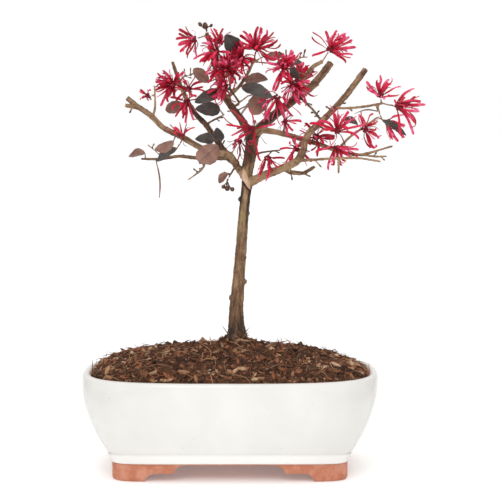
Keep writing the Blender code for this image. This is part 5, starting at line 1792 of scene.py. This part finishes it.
@dataclass
class Leaf:
    """One folded oval leaf on its stalk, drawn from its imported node."""

    name: str
    side: LeafSide
    rows: int = 30
    columns: int = 12
    thickness: float = 0.5 * MM
    arch: float = field(init=False)
    fold: float = field(init=False)
    twist: float = field(init=False)

    # The stalk's radii in millimetres, from the twig to its end in the blade, and its sides
    STALK_RADII = (0.55, 0.42, 0.4, 0.42, 0.36, 0.15)
    STALK_SIDES = 8
    # How far the stalk runs on into the blade, as a share of the blade's length
    STALK_RUN = 0.12
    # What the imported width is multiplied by, for the leaves seen from the side and for the others
    NARROW = {"leaf_hanging": 0.4, "leaf_far_right": 0.5, "leaf_far_right_low": 0.52}
    WIDE = 0.96
    # The least and the most arch, fold and twist
    ARCH, FOLD, TWIST = (0.04, 0.17), (0.1, 0.3), (-0.35, 0.35)
    # Faces that turn by less than this angle belong to one flat end
    FLAT = 0.02
    # Edges that turn by more than this many degrees stay sharp
    SHARP = 60

    def read_node(self) -> dict[str, object]:
        """Finds the blade's foot, tip, width and directions, and the stalk's start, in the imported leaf."""
        shape = merged_copy(frame["nodes"][self.name])
        rings = []
        for group in self.flat_ends(shape):
            layers, seen = [set(group)], set(group)
            while layers[-1]:
                layers.append({e.other_vert(v) for v in layers[-1] for e in v.link_edges} - seen)
                seen |= layers[-1]
            if [len(layer) for layer in layers[:5]] == [6] * 5 and len(layers) == 7:
                rings = layers[:6]
        if self.breadth(rings[1]) < self.breadth(rings[4]):
            rings.reverse()
        middles = [sum((v.co for v in in_order(ring)), Vector()) / len(ring) for ring in rings]
        ring = [v.co.copy() for v in in_order(rings[2])]
        a, b = widest_pair(ring)
        along = (middles[0] - middles[4]).normalized()
        across = (b - a).normalized()
        across = (across - along * across.dot(along)).normalized()
        spread = sorted(ring, key=lambda p: abs((p - middles[2]).dot(across)))
        rib = (spread[0] + spread[1]) / 2
        edge = sum(spread[2:], Vector()) / 4
        face = across.cross(along)
        if (edge - rib).dot(face) < 0:
            face, across = -face, -across
        half = max(abs((p - rib).dot(across)) for p in ring)
        facts = {"foot": middles[4], "tip": middles[0], "stalk": middles[5], "across": across, "face": face}
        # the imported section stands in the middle, where its outline has this share of the full width
        facts["half"] = half / (math.sin(math.pi * 0.5**0.85) ** 0.8)
        shape.free()
        return facts

    @staticmethod
    def breadth(ring: set) -> float:
        """The widest distance between points of a ring."""
        a, b = widest_pair([v.co for v in ring])
        return (a - b).length

    @classmethod
    def flat_ends(cls, shape: bmesh.types.BMesh) -> list[set]:
        """Groups of four coplanar triangles over six points, which are a leaf's ends among others."""
        left, groups = set(shape.faces), []
        for start in shape.faces:
            if start not in left:
                continue
            left.discard(start)
            group, queue = {start}, [start]
            while queue:
                face = queue.pop()
                for edge in face.edges:
                    for other in edge.link_faces:
                        if other in left and face.normal.angle(other.normal, 1.0) < cls.FLAT:
                            left.discard(other)
                            group.add(other)
                            queue.append(other)
            verts = {v for face in group for v in face.verts}
            if len(verts) == 6:
                groups.append(verts)
        return groups

    def sheet_point(self, facts: dict, draw_phase: float, share: float, u: float) -> Vector:
        """A point of the blade's middle sheet, with a softly waved edge."""
        foot, tip, face, across = facts["foot"], facts["tip"], facts["face"], facts["across"]
        length = (tip - foot).length
        half = max(facts["half"] * math.sin(math.pi * min(share, 0.999) ** 0.9) ** 0.6, 0.35 * MM)
        wave = 0.09 * half * math.sin(8 * share + draw_phase + (2 if u > 0 else 0)) * abs(u) ** 2
        wave += self.twist * half * u * (share - 0.3)
        lift = self.arch * length * math.sin(math.pi * share) + self.fold * half * abs(u) + wave
        edge = 1 + 0.03 * math.sin(23 * share + draw_phase * 3)
        return foot.lerp(tip, share) + across * half * u * edge + face * lift

    def blade(self, facts: dict, phase: float) -> tuple[list, list, list, list]:
        """The blade's closed skin.

        Args:
            facts: What read_node found.
            phase: Where the edge's waves start.

        Returns:
            Points, faces, the flat (u, v) of each point and whether it is on the face side.
        """
        points, flat, top = [], [], []
        count = self.columns + 1
        face = facts["face"]
        for sign in (1, -1):
            for row in range(self.rows + 1):
                share = row / self.rows
                for column in range(count):
                    u = 2 * column / self.columns - 1
                    mid = self.sheet_point(facts, phase, share, u)
                    thin = self.thickness / 2 * (1 - 0.75 * abs(u) ** 3) * (1 - 0.5 * share)
                    off_vein = (share * 8 - abs(u) * 2.5) % 1.0 - 0.5
                    vein = math.exp(-(off_vein / 0.16) ** 2) * (1 - abs(u)) ** 0.5
                    rib = math.exp(-((u / 0.1) ** 2)) * (1 - share)
                    relief = (-0.10 * rib - 0.04 * vein) if sign > 0 else (0.32 * rib + 0.06 * vein)
                    points.append(mid + face * sign * (thin + relief * MM))
                    flat.append(((u + 1) / 2, share))
                    top.append(1.0 if sign > 0 else 0.0)
        size = (self.rows + 1) * count
        faces = []
        for row in range(self.rows):
            for column in range(self.columns):
                a = row * count + column
                faces.append((a, a + 1, a + count + 1, a + count))
                faces.append((size + a, size + a + count, size + a + count + 1, size + a + 1))
            for column in (0, self.columns):
                a = row * count + column
                faces.append((a, a + count, size + a + count, size + a))
        for row in (0, self.rows):
            for column in range(self.columns):
                a = row * count + column
                faces.append((a, a + 1, size + a + 1, size + a))
        return points, faces, flat, top

    def stalk(self, facts: dict, points: list, faces: list) -> int:
        """Adds the stalk's closed tube and says how many points it has."""
        first, sides = len(points), self.STALK_SIDES
        start, foot = facts["stalk"], facts["foot"]
        run = foot.lerp(facts["tip"], self.STALK_RUN)
        line = [start, start.lerp(foot, 0.35), start.lerp(foot, 0.75), foot, foot.lerp(run, 0.5), run]
        across, face = facts["across"], facts["face"]
        rise, last = self.arch * (facts["tip"] - foot).length, len(line) - 1
        for i, point in enumerate(line):
            radius = self.STALK_RADII[i] * MM
            ahead = (line[min(i + 1, last)] - line[max(i - 1, 0)]).normalized()
            side = (across - ahead * across.dot(ahead)).normalized()
            up = ahead.cross(side)
            lift = face * (rise * math.sin(math.pi * self.STALK_RUN * max(i - 3, 0) / 2))
            for k in range(sides):
                turn = math.tau * k / sides
                points.append(point + lift + (side * math.cos(turn) + up * math.sin(turn)) * radius)
        faces += closed_loft(sides, len(line), first)
        return sides * len(line)

    def build(self, finish: Material) -> Object:
        """Builds the leaf.

        Args:
            finish: The leaf's finish.

        Returns:
            The piece.
        """
        facts = self.read_node()
        draw = random.Random(self.name)
        phase = draw.uniform(0, math.tau)
        self.arch, self.fold, self.twist = (draw.uniform(*r) for r in (self.ARCH, self.FOLD, self.TWIST))
        facts["half"] *= self.NARROW.get(self.name, self.WIDE)
        points, faces, flat, top = self.blade(facts, phase)
        upper_is_face = (facts["face"].y < 0) == (self.side is LeafSide.UPPER)
        top = [t if upper_is_face else 1 - t for t in top]
        added = self.stalk(facts, points, faces)
        flat += [(0.5, 0.02)] * added
        top += [0.0] * added
        mesh = plain_mesh(self.name, [keep_in_box(p) for p in points], faces)
        layer = mesh.uv_layers.new(name="Blade")
        for loop in mesh.loops:
            layer.data[loop.index].uv = flat[loop.vertex_index]
        paint(mesh, "topside", top)
        mesh.materials.append(finish)
        mesh.set_sharp_from_angle(angle=math.radians(self.SHARP))
        return finish_piece(add_object(f"{self.name}_blade", mesh), [self.name])


@dataclass
class BudBunch:
    """A few scaly buds or capsules on short stalks that fork."""

    name: str
    foot: tuple
    heads: tuple
    pointed: bool

    HEAD_ROWS, HEAD_COLUMNS = 14, 20
    ROD_ROWS, ROD_SIDES = 5, 8

    def head(self, centre: Vector, axis: Vector, radius: float) -> tuple[list, list, list]:
        """One head: points, faces and how near each point is to a seam between scales."""
        rows, columns = self.HEAD_ROWS, self.HEAD_COLUMNS
        turn = Vector((0, 0, 1)).rotation_difference(axis)
        points, seams = [], []
        long = 1.35 if self.pointed else 1.05
        for row in range(1, rows):
            tilt = math.pi * row / rows
            for column in range(columns):
                spin = math.tau * column / columns
                wave = (spin * 3 / math.tau + row * 0.42) % 1.0
                scale = 0.10 * wave if self.pointed else 0.07 * abs(math.sin(spin)) ** 0.5
                near, width = (wave, 0.2) if self.pointed else (abs(math.sin(spin)), 0.35)
                seams.append(smooth_step(width, 0.0, near))
                ring = math.sin(tilt)
                local = Vector((ring * math.cos(spin), ring * math.sin(spin), math.cos(tilt) * long))
                points.append(centre + turn @ (local * (radius * (0.88 + scale))))
        faces = loft_faces(columns, rows - 1)
        top = radius * long * 0.9
        for height, first in ((top, 0), (-top, (rows - 2) * columns)):
            points.append(centre + turn @ Vector((0, 0, height)))
            seams.append(0.5)
            faces += [(first + i, first + (i + 1) % columns, len(points) - 1) for i in range(columns)]
        return points, faces, seams

    def rod(self, start: Vector, end: Vector, radius: float) -> tuple[list, list, list]:
        """A short tapering stalk."""
        ahead = (end - start).normalized()
        side = ahead.orthogonal().normalized()
        up = ahead.cross(side)
        rows, sides = self.ROD_ROWS, self.ROD_SIDES
        points = []
        for i in range(rows):
            share = i / (rows - 1)
            bow = side * 0.12 * (end - start).length * math.sin(math.pi * share)
            size = radius * (1.15 - 0.3 * share)
            for k in range(sides):
                turn = math.tau * k / sides
                around = (side * math.cos(turn) + up * math.sin(turn)) * size
                points.append(start.lerp(end, share) + bow + around)
        return points, closed_loft(sides, rows), [0.0] * len(points)

    def build(self, finish: Material) -> Object:
        """Builds the bunch.

        Args:
            finish: The buds' finish.

        Returns:
            The piece.
        """
        foot = spot(*self.foot)
        heads = [(spot(x, y, z), r * MM) for x, y, z, r in self.heads]
        fork = foot.lerp(heads[0][0], 0.4)
        parts = [self.rod(foot, heads[0][0], 0.55 * MM)]
        parts += [self.rod(fork, head, 0.45 * MM) for head, _ in heads[1:]]
        parts += [self.head(head, (head - foot).normalized(), radius) for head, radius in heads]
        points, faces, seams = [], [], []
        for part_points, part_faces, part_seams in parts:
            faces += [[i + len(points) for i in face] for face in part_faces]
            points += part_points
            seams += part_seams
        mesh = plain_mesh(self.name, [keep_in_box(p) for p in points], faces)
        paint(mesh, "seam", seams)
        mesh.materials.append(finish)
        return finish_piece(add_object(f"{self.name}_bunch", mesh), [self.name])


@dataclass
class Studio:
    """The pale floor, the soft light and the camera."""

    elevation: float = 4.8
    distance: float = 1.05
    aim_z: float = 0.1508
    millimetres_per_pixel: float = 0.690
    pixels: int = 500
    sensor: float = 36.0
    # The tent of light round the object: its front and sides, its back and its top
    front: float = 0.92
    sides: float = 0.58
    back: float = 1.0
    top: float = 1.16
    # Where the tent's light turns to that of its back, sides and top, as parts of a direction
    back_edge: tuple = (0.72, 0.93)
    side_edge: tuple = (0.35, 0.8)
    top_edge: tuple = (0.25, 0.6)
    # The key lamp's place, aim, power and size
    key: tuple = ((-0.3, -1.4, 1.25), (0, 0, 0.12), 5.0, 0.8)
    # How far from the pot's middle the floor's glow begins and is full, in metres, and its strength
    glow_edge: tuple = (0.34, 0.1)
    glow: float = 0.16

    FLOOR_RADII = (0.4, 1.5, 6.0, 14.0)
    FLOOR_SIDES = 64

    def floor(self) -> None:
        """A wide round floor of matt white."""
        points, count = [(0.0, 0.0, 0.0)], self.FLOOR_SIDES
        turns = [math.tau * i / count for i in range(count)]
        for radius in self.FLOOR_RADII:
            points += [(radius * math.cos(t), radius * math.sin(t), 0.0) for t in turns]
        faces = [(0, 1 + i, 1 + (i + 1) % count) for i in range(count)]
        faces += loft_faces(count, len(self.FLOOR_RADII), 1)
        mesh = bpy.data.meshes.new("floor")
        mesh.from_pydata(points, [], faces)
        made, graph, shader, place = new_finish("floor_paper")
        colour = graph.mix(graph.noise(place, 40, 3), srgb(254, 254, 254), srgb(252, 252, 252))
        dress(graph, shader, Base_Color=colour, Roughness=0.9, Specular_IOR_Level=0.1)
        # it glows a little near the pot, so that the shadow there stays soft
        away = graph.put("ShaderNodeVectorMath", {0: place}, operation="LENGTH").outputs["Value"]
        glow = graph.times(graph.fade(away, *self.glow_edge), self.glow)
        dress(graph, shader, Emission_Color=grey(1.0), Emission_Strength=glow)
        mesh.materials.append(made)
        add_object("floor", mesh)

    def lamp(self, name: str, place: tuple, aim: tuple, energy: float, size: float) -> None:
        """One soft square lamp."""
        light = bpy.data.lights.new(name, "AREA")
        light.energy, light.size = energy, size
        item = bpy.data.objects.new(name, light)
        item.location = place
        item.rotation_euler = (Vector(aim) - Vector(place)).to_track_quat("-Z", "Y").to_euler()
        bpy.context.scene.collection.objects.link(item)

    def build(self) -> None:
        """Sets up floor, light, view and camera."""
        scene = bpy.context.scene
        self.floor()
        world = bpy.data.worlds.new("white_tent")
        scene.world = world
        world.use_nodes = True
        graph = Graph(world.node_tree)
        way = graph.put("ShaderNodeSeparateXYZ", {0: graph.put("ShaderNodeTexCoord").outputs["Generated"]})
        back = graph.fade(way.outputs[1], *self.back_edge)
        side = graph.fade(graph.math("ABSOLUTE", way.outputs[0]), *self.side_edge)
        colour = graph.mix(side, grey(self.front), grey(self.sides))
        colour = graph.mix(back, colour, grey(self.back))
        colour = graph.mix(graph.fade(way.outputs[2], *self.top_edge), colour, grey(self.top))
        graph.tree.links.new(colour, world.node_tree.nodes["Background"].inputs["Color"])
        self.lamp("key", *self.key)
        tilt = math.radians(self.elevation)
        camera = bpy.data.cameras.new("camera")
        camera.sensor_width = self.sensor
        camera.lens = self.sensor * self.distance * 1000 / self.millimetres_per_pixel / self.pixels
        item = bpy.data.objects.new("camera", camera)
        item.location = (0, -self.distance * math.cos(tilt), self.aim_z + self.distance * math.sin(tilt))
        item.rotation_euler = (math.pi / 2 - tilt, 0, 0)
        scene.collection.objects.link(item)
        scene.camera = item
        scene.view_settings.view_transform = "Standard"


# Each head as (x, y, z, radius)
BUD_HEADS = ((-17, 2.5, 304.4, 1.9), (-20.4, 1.5, 305.2, 1.4), (-13, 4.5, 304.6, 1.1))
CAPSULE_HEADS = ((-1.8, -15, 194, 1.9), (1.6, -15.6, 193.4, 1.6), (-4.4, -13.5, 195, 1.5))
BUNCHES = (
    BudBunch("crown_buds", (-16.1, 3.8, 300.5), BUD_HEADS, True),
    BudBunch("low_capsules", (-1.3, -14.2, 200.6), CAPSULE_HEADS, False),
)
GRIT_SHADES = (
    (0.0, srgb(96, 74, 58)), (0.5, srgb(140, 112, 88)), (0.8, srgb(176, 152, 126)),
    (1.0, srgb(226, 214, 196)))


def main() -> None:
    """Builds the bonsai from the pot upwards."""
    logging.basicConfig(level=logging.INFO, format="%(name)s %(message)s")
    pot = Pot()
    pot.build(GlazeFinish().make(), ClayFinish().make())
    litter = MulchFinish("mulch_litter").make()
    grit = MulchFinish("mulch_grit", GRIT_SHADES)
    Soil(pot).build(MulchFinish("mulch_humus").make(), litter, grit.make())
    screen = ScreenFinish().make()
    for name in ("drain_screen_left", "drain_screen_right"):
        for holder in frame["nodes"][name].material_slots:
            holder.material = screen
    Tree().build(BarkFinish().make())
    straps = Bloom.strap_tree(PetalFinish().make())
    leaves = {side: LeafFinish(side.value).make() for side in LeafSide}
    slots = {part["node"]: part["material_slot"] for part in frame["record"]["subparts"]}
    for name in sorted(frame["nodes"]):
        if name.startswith("bloom_"):
            Bloom(name).build(straps)
        elif name.startswith("leaf_"):
            side = LeafSide(slots[name])
            Leaf(name, side).build(leaves[side])
    buds = BudFinish().make()
    for bunch in BUNCHES:
        bunch.build(buds)
    Studio().build()


if __name__ == "__main__":
    main()
